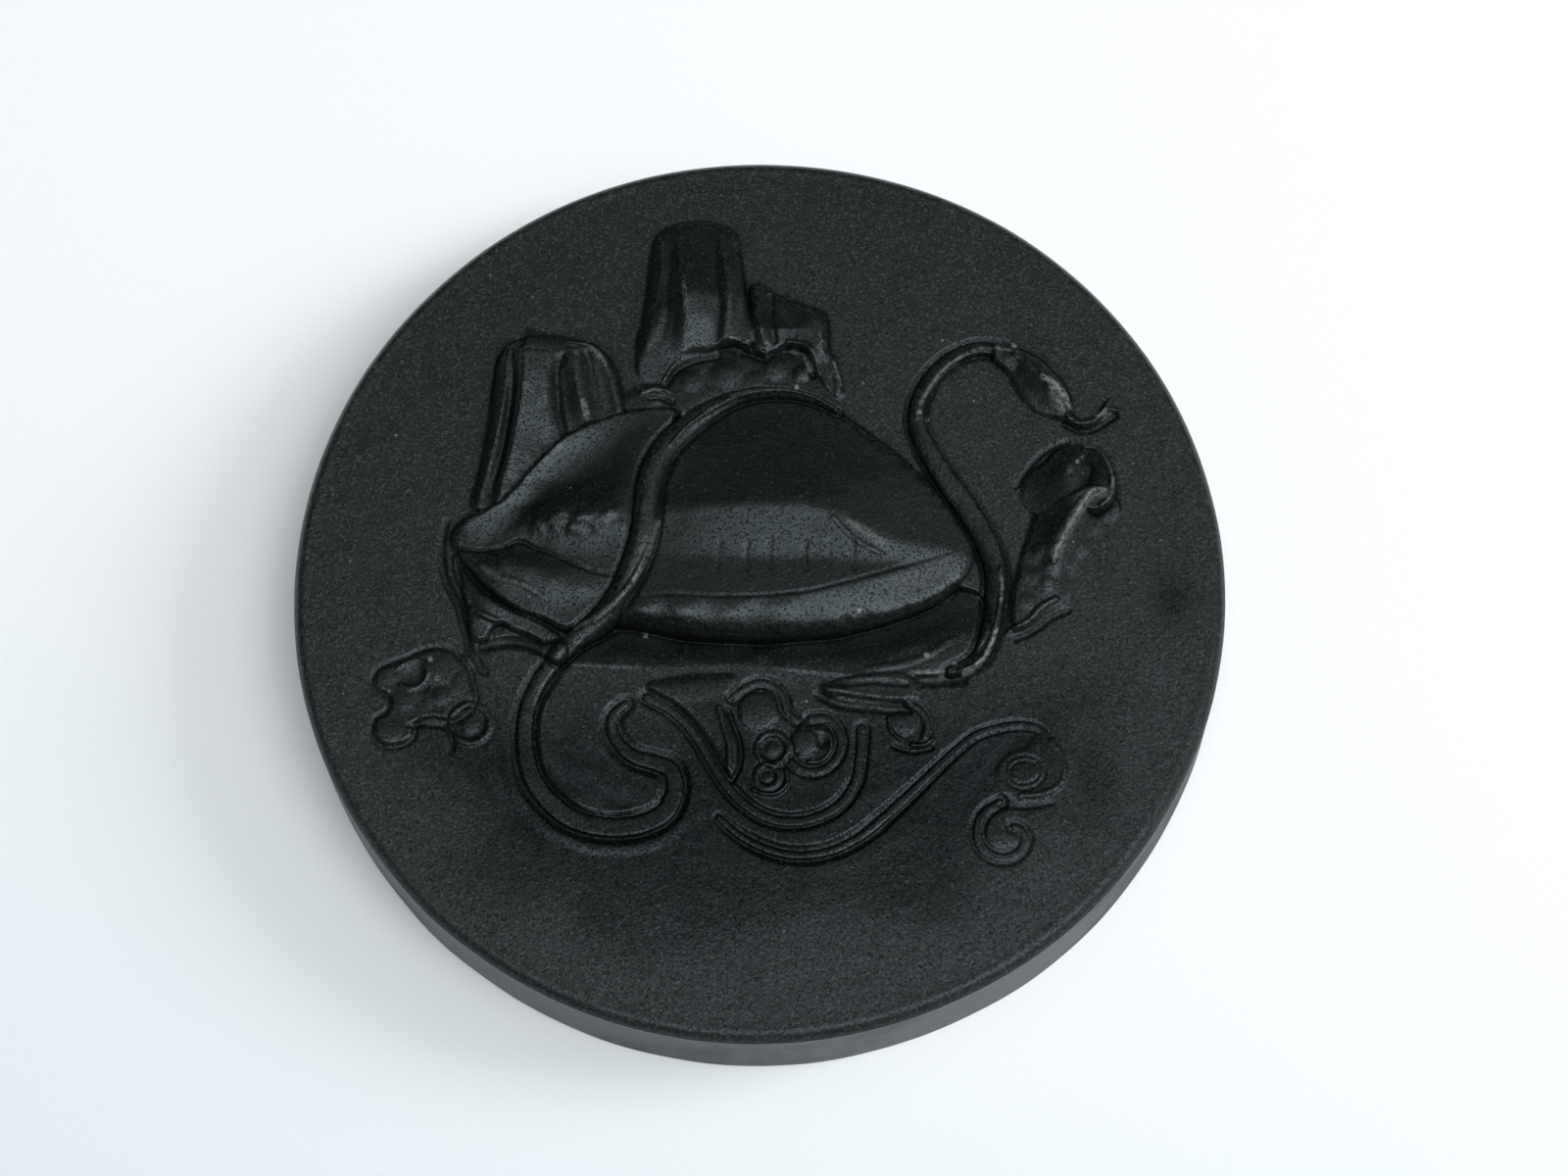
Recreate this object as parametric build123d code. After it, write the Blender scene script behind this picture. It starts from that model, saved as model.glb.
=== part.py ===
from build123d import *

import os

# A round cake of pressed ink with a moulded picture on its face: a tortoise wound by a snake, rocks above
# and clouds below. Millimetres, +Z up, origin at the centre of the base, +Y towards the rocks. Each raised
# motif is a solid of its own that stands on the disc's face.

# Disc
disc_diameter = 100.0  # at the base, where the cake is widest
disc_thickness = 11.0  # from the base to the flat field of the face
side_lean = 1.0  # how far the drafted side comes in between the base and the crest of the edge
edge_band = 2.1  # width of the rounded band between the field and the crest
edge_drop = 0.7  # how far the band falls from the field to the crest
base_break = 0.4  # small bevel round the base

# Heights of the relief over the field
shell_height = 3.2  # crown of the tortoise's shell
rim_step = 0.5  # how far the shell's lower rim lies below the dome beside it
coil_rise = 0.35  # how far the snake's coil stands over the dome that it crosses
tail_height = 0.6
neck_height = 1.2
head_height = 1.6
tongue_height = 0.5
tortoise_head_height = 2.2
tortoise_neck_height = 1.7
belly_height = 0.9
foot_height = 1.0
rock_height = 1.8  # the tallest column of each rock
ledge_height = 0.6
cloud_height = 0.6
line_height = 0.45

# Crown of the shell: an ellipsoid that gives the dome its fall towards the edge
crown_centre = (-3.0, 6.0)
crown_half_length = 45.0
crown_half_width = 24.0
crown_depth = 8.0

# Beads are two layers: a foot of the full width and a narrower crest
foot_share = 0.6  # height of the foot over the height of the bead
crest_share = 0.5  # width of the crest over the width of the foot

# The outlines below are drawn for a disc of this diameter and follow the disc when it changes
drawing_diameter = 100.0
drawing_scale = disc_diameter / drawing_diameter

# Tortoise
shell_outline = [
    (-32.6, 4.6), (-31.4, 6.5), (-28.5, 7.6), (-25.3, 10.4), (-21.5, 14.4), (-16.5, 17.0), (-11.0, 18.6),
    (-5.5, 19.4), (0.0, 19.8), (5.0, 19.4), (9.5, 17.4), (14.5, 13.4), (18.5, 9.2), (21.3, 5.2),
    (22.6, 1.8), (20.0, -0.5), (10.0, -3.5), (0.0, -5.0), (-10.0, -4.6), (-18.0, -3.0), (-26.0, 0.5),
]
rim_outline = [
    (-13.5, -3.2), (-10.0, -2.6), (-5.0, -3.0), (0.0, -3.0), (5.0, -2.5), (10.0, -1.5), (15.0, -0.2),
    (20.0, 1.3), (22.4, 0.8), (21.6, -1.6), (19.4, -3.9), (15.0, -6.0), (10.0, -7.3), (5.0, -7.8),
    (0.0, -7.9), (-5.0, -7.6), (-10.0, -6.7), (-14.0, -5.4),
]
rim_rear_outline = [
    (-31.8, 3.0), (-28.5, 3.1), (-25.0, 3.9), (-21.8, 2.4), (-18.5, 0.7), (-14.0, -0.3), (-13.2, -3.0),
    (-17.0, -5.0), (-20.2, -6.9), (-23.0, -5.4), (-26.0, -3.7), (-28.8, -1.2), (-30.6, 0.8),
]
belly_outline = [
    (-18.5, -6.4), (-12.0, -5.8), (0.0, -7.0), (12.0, -6.5), (20.0, -3.2), (22.6, -4.5), (22.6, -8.5),
    (20.8, -11.0), (15.0, -12.2), (8.0, -11.6), (0.0, -10.6), (-9.0, -10.4), (-16.0, -9.8),
]
rear_foot_outline = [
    (-31.4, 0.6), (-28.6, -1.6), (-24.8, -4.6), (-21.6, -6.4), (-23.2, -7.4), (-26.6, -5.8),
    (-28.2, -6.9), (-29.8, -6.7), (-30.4, -4.4), (-31.0, -2.0),
]
front_foot_outline = [
    (6.3, -13.0), (8.4, -12.2), (12.0, -11.6), (15.6, -12.0), (16.6, -13.6), (14.6, -15.0), (10.6, -14.8),
    (7.4, -14.2),
]
tortoise_head_outline = [
    (31.2, 8.4), (31.4, 10.9), (33.2, 12.9), (35.8, 12.8), (37.5, 10.9), (38.0, 8.2), (37.2, 6.1),
    (35.3, 5.4), (33.0, 6.4),
]
tortoise_neck_outline = [
    (29.2, 7.4), (32.4, 6.9), (35.6, 5.4), (35.0, 2.9), (33.3, -0.4), (32.3, -4.0), (29.6, -5.6),
    (27.4, -6.6), (26.9, -3.2), (28.2, 2.0),
]

# Snake: centre line, and widths at even steps along it
coil_line = [
    (8.8, 17.9), (5.4, 19.9), (1.5, 20.3), (-2.4, 19.5), (-6.0, 17.3), (-9.0, 14.4), (-10.7, 10.8),
    (-11.2, 6.6), (-11.8, 3.2), (-13.2, -0.6), (-15.6, -4.0), (-18.8, -6.6), (-20.6, -8.2),
]
coil_widths = [0.7, 1.0, 1.4, 2.1, 2.6, 2.6, 2.4, 1.9]
tail_line = [
    (-19.8, -7.3), (-22.4, -10.6), (-24.0, -14.0), (-24.4, -18.0), (-23.4, -22.2), (-20.6, -25.4),
    (-16.6, -27.2), (-12.6, -27.0), (-9.9, -25.4), (-9.0, -22.9), (-10.4, -20.9), (-13.2, -19.8),
    (-15.1, -17.9), (-15.4, -15.8), (-14.2, -14.3),
]
tail_widths = [1.7, 1.6, 1.6, 1.8, 1.9, 1.9, 1.6, 1.2, 0.7]
neck_line = [
    (19.6, -11.8), (22.4, -10.4), (23.9, -7.4), (24.6, -4.0), (24.9, -0.8), (23.8, 3.0), (21.6, 7.2),
    (19.2, 11.0), (17.7, 14.6), (17.5, 18.2), (19.4, 21.6), (22.6, 24.0), (26.0, 24.6),
]
neck_widths = [1.2, 1.5, 1.7, 1.8, 1.8, 1.6, 1.3, 1.2, 1.5]
head_outline = [
    (26.4, 25.2), (29.4, 24.4), (31.8, 22.4), (33.6, 19.8), (34.5, 17.2), (33.4, 16.0), (31.0, 17.0),
    (29.0, 19.4), (27.6, 22.0), (26.0, 23.8),
]
tongue_line = [(34.2, 16.6), (35.6, 15.6), (37.2, 16.2), (38.8, 17.8)]
tongue_widths = [1.3, 0.9, 0.8, 1.3]

# Rocks: one outline for each column, with its share of the rock's height
rock_left_columns = [
    ([(-30.4, 9.2), (-28.9, 17.0), (-28.2, 23.4), (-26.6, 26.6), (-25.2, 24.0), (-26.0, 17.0),
      (-27.6, 10.6)], 0.45),
    ([(-27.9, 9.4), (-26.1, 16.6), (-25.2, 23.6), (-24.4, 26.8), (-21.6, 26.8), (-20.6, 22.0),
      (-20.6, 16.6), (-23.6, 12.2)], 1.0),
    ([(-21.2, 15.6), (-21.1, 21.0), (-20.6, 24.6), (-19.2, 24.4), (-18.4, 20.0), (-17.4, 15.9)], 0.75),
    ([(-20.4, 26.6), (-17.8, 26.7), (-15.6, 24.2), (-14.4, 20.6), (-13.4, 17.4), (-17.8, 16.4),
      (-19.0, 21.6), (-20.0, 25.0)], 0.6),
]
rock_centre_columns = [
    ([(-13.0, 24.0), (-11.6, 29.6), (-10.8, 35.0), (-9.8, 39.0), (-8.3, 38.4), (-8.7, 33.0),
      (-9.6, 26.8), (-10.4, 22.6)], 0.55),
    ([(-10.2, 22.8), (-9.0, 30.0), (-8.4, 36.6), (-7.6, 40.4), (-5.4, 41.0), (-3.6, 39.4), (-3.2, 33.0),
      (-3.3, 25.4), (-6.4, 24.8)], 1.0),
    ([(-4.0, 25.0), (-3.9, 33.0), (-4.2, 39.6), (-2.3, 40.2), (-1.3, 36.4), (-0.6, 30.4), (0.4, 25.3)],
     0.8),
]
rock_right_columns = [
    ([(-0.4, 25.6), (-0.3, 30.0), (0.6, 33.2), (2.8, 31.6), (3.4, 28.0), (3.4, 24.8)], 0.6),
    ([(2.8, 24.9), (2.6, 29.0), (2.9, 31.6), (5.4, 30.6), (7.9, 29.3), (7.7, 25.4), (5.8, 23.4)], 0.9),
    ([(5.4, 23.6), (7.3, 26.0), (8.2, 25.6), (9.4, 21.6), (9.2, 19.9), (6.8, 20.9)], 0.45),
]
ledge_outline = [
    (-15.2, 20.3), (-12.4, 21.3), (-8.8, 22.6), (-3.6, 24.6), (1.4, 24.4), (5.6, 23.4), (7.8, 20.6),
    (4.0, 20.9), (0.0, 21.4), (-4.0, 20.8), (-8.6, 18.9), (-12.6, 18.6),
]

# Clouds
cloud_left_outline = [
    (-40.1, -10.6), (-38.4, -9.1), (-36.4, -8.5), (-34.6, -7.8), (-32.6, -7.9), (-30.8, -9.3),
    (-29.9, -11.4), (-30.4, -13.6), (-31.8, -15.8), (-34.0, -15.5), (-36.0, -16.6), (-38.0, -18.0),
    (-39.9, -16.8), (-39.6, -14.4), (-38.7, -12.6),
]
cloud_left_ring_centre = (-30.0, -16.0)
cloud_left_ring_radius = 2.2
pendant_line = [
    (10.3, -17.8), (10.0, -20.4), (9.3, -23.4), (7.4, -25.7), (4.6, -26.9), (1.6, -27.0), (-1.2, -25.8),
    (-3.5, -23.5), (-5.2, -20.8), (-6.7, -18.0), (-8.8, -15.8), (-11.6, -13.8),
]
pendant_widths = [1.0, 0.8, 0.8, 0.9, 0.9, 0.8]
leaf_outline = [
    (-11.8, -12.2), (-7.0, -11.4), (-2.4, -12.0), (-3.2, -14.2), (-2.5, -18.0), (-2.6, -21.0),
    (-3.8, -22.2), (-5.2, -19.6), (-6.8, -16.6), (-9.4, -14.4),
]
curl_discs = [((-0.4, -14.8), 2.2), ((0.9, -19.6), 1.7), ((0.4, -22.7), 1.2), ((5.5, -18.8), 2.6)]
streamer_line = [
    (-4.7, -26.4), (-2.4, -28.5), (0.8, -30.1), (4.2, -30.6), (8.0, -29.8), (11.6, -27.4), (15.0, -24.4),
    (18.4, -21.2), (21.6, -18.8), (25.0, -17.7), (28.2, -18.1), (30.0, -19.6),
]
streamer_widths = [0.6, 0.9, 1.0, 1.3, 0.9, 0.8, 0.8, 0.6]
scroll_outline = [
    (27.0, -20.2), (29.4, -20.4), (31.0, -22.0), (30.6, -24.2), (28.6, -25.5), (26.0, -25.8), (23.6, -25.2),
    (23.2, -23.2), (24.6, -20.9),
]
hook_line = [
    (23.3, -26.0), (21.8, -27.4), (21.4, -29.2), (22.3, -30.8), (24.1, -31.4), (25.8, -30.7),
    (26.1, -29.1), (25.2, -28.2),
]
hook_widths = [0.9, 1.0, 1.0, 0.9, 0.6]
foot_curl_centre = (15.0, -17.2)
foot_curl_radius = 2.1

disc_radius = disc_diameter / 2
crest_radius = disc_radius - side_lean
field_radius = crest_radius - edge_band
field_z = disc_thickness
crest_z = disc_thickness - edge_drop
reach = 2 * disc_radius  # longer than anything on the disc, for cutting bodies


def drawn(points):
    """Points of the drawing at the size of this disc."""
    return [(x * drawing_scale, y * drawing_scale) for x, y in points]


def blob(points):
    """Face inside a smooth closed line through the points."""
    return make_face(Spline(*drawn(points), periodic=True))


def width_at(widths, share):
    """Width at a share of the way along a line, between even steps."""
    place = share * (len(widths) - 1)
    step = min(int(place), len(widths) - 2)
    return widths[step] + (widths[step + 1] - widths[step]) * (place - step)


def stroke(points, widths, share_of_width=1.0):
    """Face of a line with round ends whose width changes along it."""
    path = Spline(*drawn(points))
    count = 2 * len(points)
    left = []
    right = []
    for step in range(count + 1):
        share = step / count
        half = width_at(widths, share) * share_of_width * drawing_scale / 2
        along = path % share
        side = Vector(-along.Y, along.X) * half
        left.append(path @ share + side)
        right.append(path @ share - side)
    start_cap = path @ 0 - path % 0 * ((left[0] - right[0]).length / 2)
    end_cap = path @ 1 + path % 1 * ((left[-1] - right[-1]).length / 2)
    edges = [
        Spline(*left),
        ThreePointArc(left[-1], end_cap, right[-1]),
        Spline(*reversed(right)),
        ThreePointArc(right[0], start_cap, left[0]),
    ]
    return make_face(edges)


def raised(face, height):
    """Solid that stands on the field with this outline and height."""
    return extrude(Pos(0, 0, field_z) * face, amount=height, dir=(0, 0, 1))


def bead(points, widths, height):
    """Line in relief: a foot with a narrower crest along its middle."""
    foot = raised(stroke(points, widths), height * foot_share)
    return foot + raised(stroke(points, widths, crest_share), height)


def mound(points, height):
    return raised(blob(points), height)


def button(centre, radius, height):
    """Round boss with a narrower crest."""
    place = Pos(centre[0] * drawing_scale, centre[1] * drawing_scale)
    foot = raised(place * Circle(radius * drawing_scale), height * foot_share)
    return foot + raised(place * Circle(radius * drawing_scale * crest_share), height)


def largest(shape):
    """The main solid of a cut, without the slivers."""
    return max(shape.solids(), key=lambda solid: solid.volume)


def ink_disc():
    profile = [
        Line((0, 0), (disc_radius - base_break, 0)),
        Line((disc_radius - base_break, 0), (disc_radius, base_break)),
        Line((disc_radius, base_break), (crest_radius, crest_z)),
        TangentArc((field_radius, field_z), (crest_radius, crest_z), tangent=(1, 0)),
        Line((field_radius, field_z), (0, field_z)),
        Line((0, field_z), (0, 0)),
    ]
    return revolve(Plane.XZ * make_face(profile), Axis.Z)


def crown(rise):
    """Ellipsoid whose top stands this far over the field."""
    by = (crown_half_length * drawing_scale, crown_half_width * drawing_scale, crown_depth)
    centre = (crown_centre[0] * drawing_scale, crown_centre[1] * drawing_scale)
    return Pos(*centre, field_z + rise - crown_depth) * scale(Sphere(1), by=by)


def crowned(face, rise):
    return raised(face, reach) & crown(rise)


def rock(columns):
    """One rock of columns that differ in height."""
    solid = mound(columns[0][0], rock_height * columns[0][1])
    for points, share in columns[1:]:
        solid += mound(points, rock_height * share)
    return solid


def tortoise_shell():
    """The four parts of the shell, cut along the snake's coil."""
    coil = raised(stroke(coil_line, coil_widths), reach)
    rims = raised(blob(rim_outline), reach) + raised(blob(rim_rear_outline), reach)
    dome = crowned(blob(shell_outline), shell_height) - coil - rims
    front, rear = sorted(dome.solids(), key=lambda solid: -solid.volume)[:2]
    return {
        "shell_dome": front,
        "shell_dome_rear": rear,
        "shell_rim": largest(crowned(blob(rim_outline), shell_height - rim_step) - coil),
        "shell_rim_rear": largest(crowned(blob(rim_rear_outline), shell_height - rim_step) - coil),
        "snake_coil": crowned(stroke(coil_line, coil_widths), shell_height + coil_rise),
    }


def picture():
    """Every motif in the order in which each one keeps its ground against those after it."""
    motifs = tortoise_shell()
    motifs["snake_tail"] = bead(tail_line, tail_widths, tail_height)
    motifs["snake_neck"] = bead(neck_line, neck_widths, neck_height)
    motifs["snake_head"] = mound(head_outline, head_height)
    motifs["snake_tongue"] = bead(tongue_line, tongue_widths, tongue_height)
    motifs["tortoise_head"] = mound(tortoise_head_outline, tortoise_head_height)
    motifs["tortoise_neck"] = mound(tortoise_neck_outline, tortoise_neck_height)
    motifs["front_foot"] = mound(front_foot_outline, foot_height)
    motifs["rear_foot"] = mound(rear_foot_outline, foot_height)
    motifs["tortoise_belly"] = mound(belly_outline, belly_height)
    motifs["rock_left"] = rock(rock_left_columns)
    motifs["rock_centre"] = rock(rock_centre_columns)
    motifs["rock_right"] = rock(rock_right_columns)
    motifs["rock_base"] = mound(ledge_outline, ledge_height)
    motifs["cloud_left_ring"] = button(cloud_left_ring_centre, cloud_left_ring_radius, cloud_height)
    motifs["cloud_left"] = mound(cloud_left_outline, cloud_height)
    motifs["cloud_pendant"] = bead(pendant_line, pendant_widths, line_height)
    motifs["cloud_leaf"] = mound(leaf_outline, cloud_height)
    motifs["foot_curl"] = button(foot_curl_centre, foot_curl_radius, cloud_height)
    motifs["cloud_scroll"] = mound(scroll_outline, cloud_height)
    motifs["cloud_streamer"] = bead(streamer_line, streamer_widths, line_height)
    motifs["cloud_hook"] = bead(hook_line, hook_widths, line_height)
    return motifs


def curls():
    """The round bosses inside the pendant cloud."""
    return Compound([button(centre, radius, cloud_height).solid() for centre, radius in curl_discs])


def fitted(motifs):
    """Cuts each motif back from those before it, so that they meet without overlapping."""
    kept = {}
    for name, shape in motifs.items():
        for other in kept.values():
            if shape.bounding_box().overlaps(other.bounding_box()):
                shape = largest(shape - other)
        kept[name] = shape
    return kept


def main():
    os.makedirs("parts", exist_ok=True)
    parts = {"ink_disc": ink_disc()}
    parts.update(fitted(picture()))
    parts["cloud_curls"] = curls()
    for name, shape in parts.items():
        export_step(shape, f"parts/{name}.step")
        print(f"{name:18s} {shape.volume:9.2f} mm3")


main()
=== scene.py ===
import math

import bpy
import numpy as np
from mathutils import Matrix, Vector
from mathutils.geometry import delaunay_2d_cdt


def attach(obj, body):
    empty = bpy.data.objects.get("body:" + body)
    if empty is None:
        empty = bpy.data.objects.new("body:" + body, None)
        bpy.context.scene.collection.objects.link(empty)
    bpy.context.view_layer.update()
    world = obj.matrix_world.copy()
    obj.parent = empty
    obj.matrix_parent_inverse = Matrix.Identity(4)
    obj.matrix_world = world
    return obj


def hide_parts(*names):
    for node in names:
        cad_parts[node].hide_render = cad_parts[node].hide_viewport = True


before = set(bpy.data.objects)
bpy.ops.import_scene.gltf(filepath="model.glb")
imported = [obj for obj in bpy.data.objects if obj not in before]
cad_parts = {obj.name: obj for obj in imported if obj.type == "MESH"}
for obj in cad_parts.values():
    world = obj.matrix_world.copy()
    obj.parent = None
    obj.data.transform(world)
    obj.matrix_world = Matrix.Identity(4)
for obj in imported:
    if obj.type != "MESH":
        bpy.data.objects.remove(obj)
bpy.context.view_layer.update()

# A round cake of pressed ink. The picture on its face is carved here as one height map in millimetres
# over
# the flat field, then cut into its motifs, so that neighbours meet along the same points.

mm = 0.001
carving = {"left": -43.0, "right": 41.5, "front": -34.0, "back": 43.5, "step": 0.11}
cake = {
    "radius": 50.0, "crestRadius": 49.0, "fieldRadius": 46.9, "thickness": 11.0, "crestDrop": 0.7,
    "baseBreak": 0.4, "around": 720, "pocket": 1.3, "lip": 0.09,
    # darker patches
    "smudges": [(43.4, -4.6, 2.4, 3.2), (-23.0, -31.0, 9.0, 4.5), (5.0, -33.5, 12.0, 3.0),
                (33.0, -24.0, 3.5, 6.0)],
}

xs = np.arange(carving["left"], carving["right"], carving["step"])
ys = np.arange(carving["front"], carving["back"], carving["step"])
gridX, gridY = np.meshgrid(xs, ys)
height = np.zeros_like(gridX)  # relief over the field
rubAndGlint = np.zeros_like(gridX)  # pale scuffs, and painted highlights where the window glints
print("carving table", gridX.shape)


# lines and areas

def smoothLine(points, closed=False, spacing=0.3):
    # a smooth line through given points; any columns after x and y are carried along
    p = np.array(points, float)
    if closed:
        p = np.vstack([p[-3:], p, p[:4]])
    t = np.concatenate([[0.0], np.cumsum(np.hypot(*np.diff(p[:, :2], axis=0).T))])
    slope = np.gradient(p, t, axis=0)
    out = []
    first, last = (3, len(p) - 4) if closed else (0, len(p) - 1)
    for i in range(first, last):
        span = t[i + 1] - t[i]
        n = max(1, int(math.ceil(span / spacing)))
        s = (np.arange(n) / n)[:, None]
        out.append((2 * s**3 - 3 * s**2 + 1) * p[i] + (s**3 - 2 * s**2 + s) * span * slope[i]
                   + (3 * s**2 - 2 * s**3) * p[i + 1] + (s**3 - s**2) * span * slope[i + 1])
    out.append(p[last][None, :])
    return np.vstack(out)


def window(low, high, reach):
    # rows and columns of the table that cover a box grown by reach
    step = carving["step"]
    a = np.clip(((np.array(low) - reach - (xs[0], ys[0])) / step).astype(int), 0, (len(xs), len(ys)))
    b = np.clip(((np.array(high) + reach - (xs[0], ys[0])) / step).astype(int) + 2, 0, (len(xs), len(ys)))
    return slice(a[1], b[1]), slice(a[0], b[0])


def nearLine(line, reach):
    # distance to a line, which side, and how far along, for the part of the table within reach
    box = window(line[:, :2].min(0), line[:, :2].max(0), reach)
    x, y = gridX[box], gridY[box]
    distance = np.full(x.shape, 1e9)
    side = np.ones(x.shape)
    along = np.zeros(x.shape)
    lengths = np.hypot(*np.diff(line[:, :2], axis=0).T)
    start = np.concatenate([[0.0], np.cumsum(lengths)])
    for i in range(len(line) - 1):
        a, b = line[i, :2], line[i + 1, :2]
        if lengths[i] < 1e-9:
            continue
        patch = window(np.minimum(a, b), np.maximum(a, b), reach)
        r = slice(patch[0].start - box[0].start, patch[0].stop - box[0].start)
        c = slice(patch[1].start - box[1].start, patch[1].stop - box[1].start)
        dx, dy = x[r, c] - a[0], y[r, c] - a[1]
        ux, uy = (b - a) / lengths[i]
        u = np.clip(dx * ux + dy * uy, 0, lengths[i])
        ex, ey = dx - u * ux, dy - u * uy
        d = ex * ex + ey * ey
        closer = d < distance[r, c]
        distance[r, c] = np.where(closer, d, distance[r, c])
        side[r, c] = np.where(closer, np.sign(ux * dy - uy * dx + 1e-12), side[r, c])
        along[r, c] = np.where(closer, start[i] + u, along[r, c])
    return box, np.sqrt(distance), side, along / start[-1]


def insideOf(line):
    # every point of the table inside a closed line
    flips = np.zeros((len(ys), len(xs) + 1), bool)
    step = carving["step"]
    p = line[:, :2]
    for a, b in zip(p, np.roll(p, -1, axis=0)):
        if a[1] == b[1]:
            continue
        lo, hi = (a, b) if a[1] < b[1] else (b, a)
        rows = np.arange(max(0, math.ceil((lo[1] - ys[0]) / step)),
                         min(len(ys), math.ceil((hi[1] - ys[0]) / step)))
        if len(rows):
            x = lo[0] + (ys[rows] - lo[1]) * (hi[0] - lo[0]) / (hi[1] - lo[1])
            columns = np.clip(np.ceil((x - xs[0]) / step).astype(int), 0, len(xs))
            flips[rows, columns] ^= True
    return (np.cumsum(flips, axis=1) % 2 == 1)[:, :-1]


def sized(value, along):
    # a width or height that is one number or a list at even steps along a line
    if isinstance(value, (int, float)):
        return np.full(along.shape, float(value))
    return np.interp(along, np.linspace(0, 1, len(value)), value)


# carving strokes

def stroke(points, width, rise, lean=0.0, power=1.3, layer=None, closed=False):
    # a bead with a rise over what is there, or a groove with a negative one; lean moves its crest, left
    # is +
    layer = height if layer is None else layer
    line = smoothLine(points, closed)
    widest = width if isinstance(width, (int, float)) else max(width)
    box, distance, side, along = nearLine(line, widest / 2 + 0.1)
    u = side * distance / (sized(width, along) / 2)
    v = np.where(u > lean, (u - lean) / (1 - lean), (lean - u) / (1 + lean))
    layer[box] += sized(rise, along) * np.clip(1 - v * v, 0, 1) ** power


def bead(points, width, level, lean=0.0, power=0.5):
    # a body that stands at its own level over the field, whatever is under it
    line = smoothLine(points)
    box, distance, side, along = nearLine(line, max(width) / 2 + 0.1)
    u = side * distance / (sized(width, along) / 2)
    v = np.where(u > lean, (u - lean) / (1 - lean), (lean - u) / (1 + lean))
    body = sized(level, along) * np.clip(1 - v * v, 0, 1) ** power
    height[box] = np.where(np.abs(u) < 1, np.maximum(height[box], body), height[box])


def pleat(points, left, right, rise):
    # a sharp crest along the line itself, with slopes of different widths on its two sides
    widest = max(np.max(left), np.max(right))
    box, distance, side, along = nearLine(smoothLine(points), widest + 0.1)
    reach = np.where(side > 0, sized(left, along), sized(right, along))
    height[box] += sized(rise, along) * np.clip(1 - distance / reach, 0, 1)


def spot(x, y, radius, rise, power=1.3, layer=None, squash=1.0, turn=0.0):
    # a round lump, or a dent
    layer = height if layer is None else layer
    box = window((x, y), (x, y), radius * max(1, squash) + 0.2)
    c, s = math.cos(math.radians(turn)), math.sin(math.radians(turn))
    dx, dy = gridX[box] - x, gridY[box] - y
    a, b = (dx * c + dy * s) / squash, dy * c - dx * s
    layer[box] += rise * np.clip(1 - (a * a + b * b) / radius**2, 0, 1) ** power


def signedDistance(outline, reach):
    line = smoothLine(outline, closed=True)
    box, distance, side, along = nearLine(line, reach)
    inside = insideOf(line)[box]
    return box, np.where(inside, 1, -1) * np.minimum(distance, reach)


def bend(squared):
    # how a thin plate gives, from the squared distance
    return 0.5 * squared * np.log(squared + 1e-9)


def skinOver(points, x, y):
    # a thin stiff skin through points that each give a height
    p = np.array(points, float)
    n = len(p)
    system = np.zeros((n + 3, n + 3))
    system[:n, :n] = bend(((p[:, None, :2] - p[None, :, :2]) ** 2).sum(-1))
    system[:n, n] = system[n, :n] = 1
    system[:n, n + 1:] = p[:, :2]
    system[n + 1:, :n] = p[:, :2].T
    weights = np.linalg.solve(system, np.concatenate([p[:, 2], np.zeros(3)]))
    out = weights[n] + weights[n + 1] * x + weights[n + 2] * y
    for i in range(n):
        out += weights[i] * bend((x - p[i, 0]) ** 2 + (y - p[i, 1]) ** 2)
    return out


def form(piece):
    # a mass with an outline, a top that is level or made of skins, and rounded shoulders
    box, distance = signedDistance(piece["outline"], piece["shoulder"] + 0.1)
    inside = distance > 0
    top = np.zeros(distance.shape)
    x, y = gridX[box][inside], gridY[box][inside]
    if "planes" in piece:
        for how, points in piece["planes"]:  # skins that cut each other along crisp creases
            skin = skinOver(points, x, y)
            if how == "min":
                skin = np.minimum(top[inside], skin)
            elif how == "max":
                skin = np.maximum(top[inside], skin)
            top[inside] = skin
    elif "skin" in piece:
        top[inside] = skinOver(piece["skin"], x, y)
    else:
        top[inside] = piece["rise"]
    t = np.clip(distance / piece["shoulder"], 0, 1)
    edge = 1 - (1 - t) ** piece.get("roundness", 2.2)
    body = top * edge
    if piece.get("over"):
        under = np.minimum(height[box], 0.3) * (1 - edge)
        height[box] = np.where(inside, body + under, height[box])
    else:
        height[box] = np.where(inside, np.maximum(height[box], body), height[box])


def blurred(field, size):
    # Gaussian blur, size in millimetres
    fy = np.fft.fftfreq(field.shape[0])[:, None]
    fx = np.fft.rfftfreq(field.shape[1])[None, :]
    sigma = size / carving["step"]
    damp = np.exp(-2 * (math.pi * sigma) ** 2 * (fx * fx + fy * fy))
    return np.fft.irfft2(np.fft.rfft2(field) * damp, s=field.shape)


def soften(outline, size):
    # rub down the corners inside an outline, less towards its edge
    global height
    box, distance = signedDistance(outline, 1.5)
    share = np.zeros(gridX.shape)
    share[box] = np.clip(distance / 1.2, 0, 1)
    height = height + (blurred(height, size) - height) * share


def softNoise(seed, size):
    raw = np.random.default_rng(seed).standard_normal(gridX.shape)
    soft = blurred(raw, size)
    return soft / soft.std()


owner = np.full(gridX.shape, -1)
ownerNames = []


def claim(name, outline=None, line=None, width=None):
    # the ground that a motif owns; later motifs take theirs from earlier ones
    ownerNames.append(name)
    number = len(ownerNames) - 1
    if outline is not None:
        owner[insideOf(smoothLine(outline, closed=True))] = number
    if line is not None:
        widest = width if isinstance(width, (int, float)) else max(width)
        box, distance, side, along = nearLine(smoothLine(line), widest / 2 + 0.1)
        owner[box] = np.where(distance < sized(width, along) / 2, number, owner[box])


# rocks behind the tortoise

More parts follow.
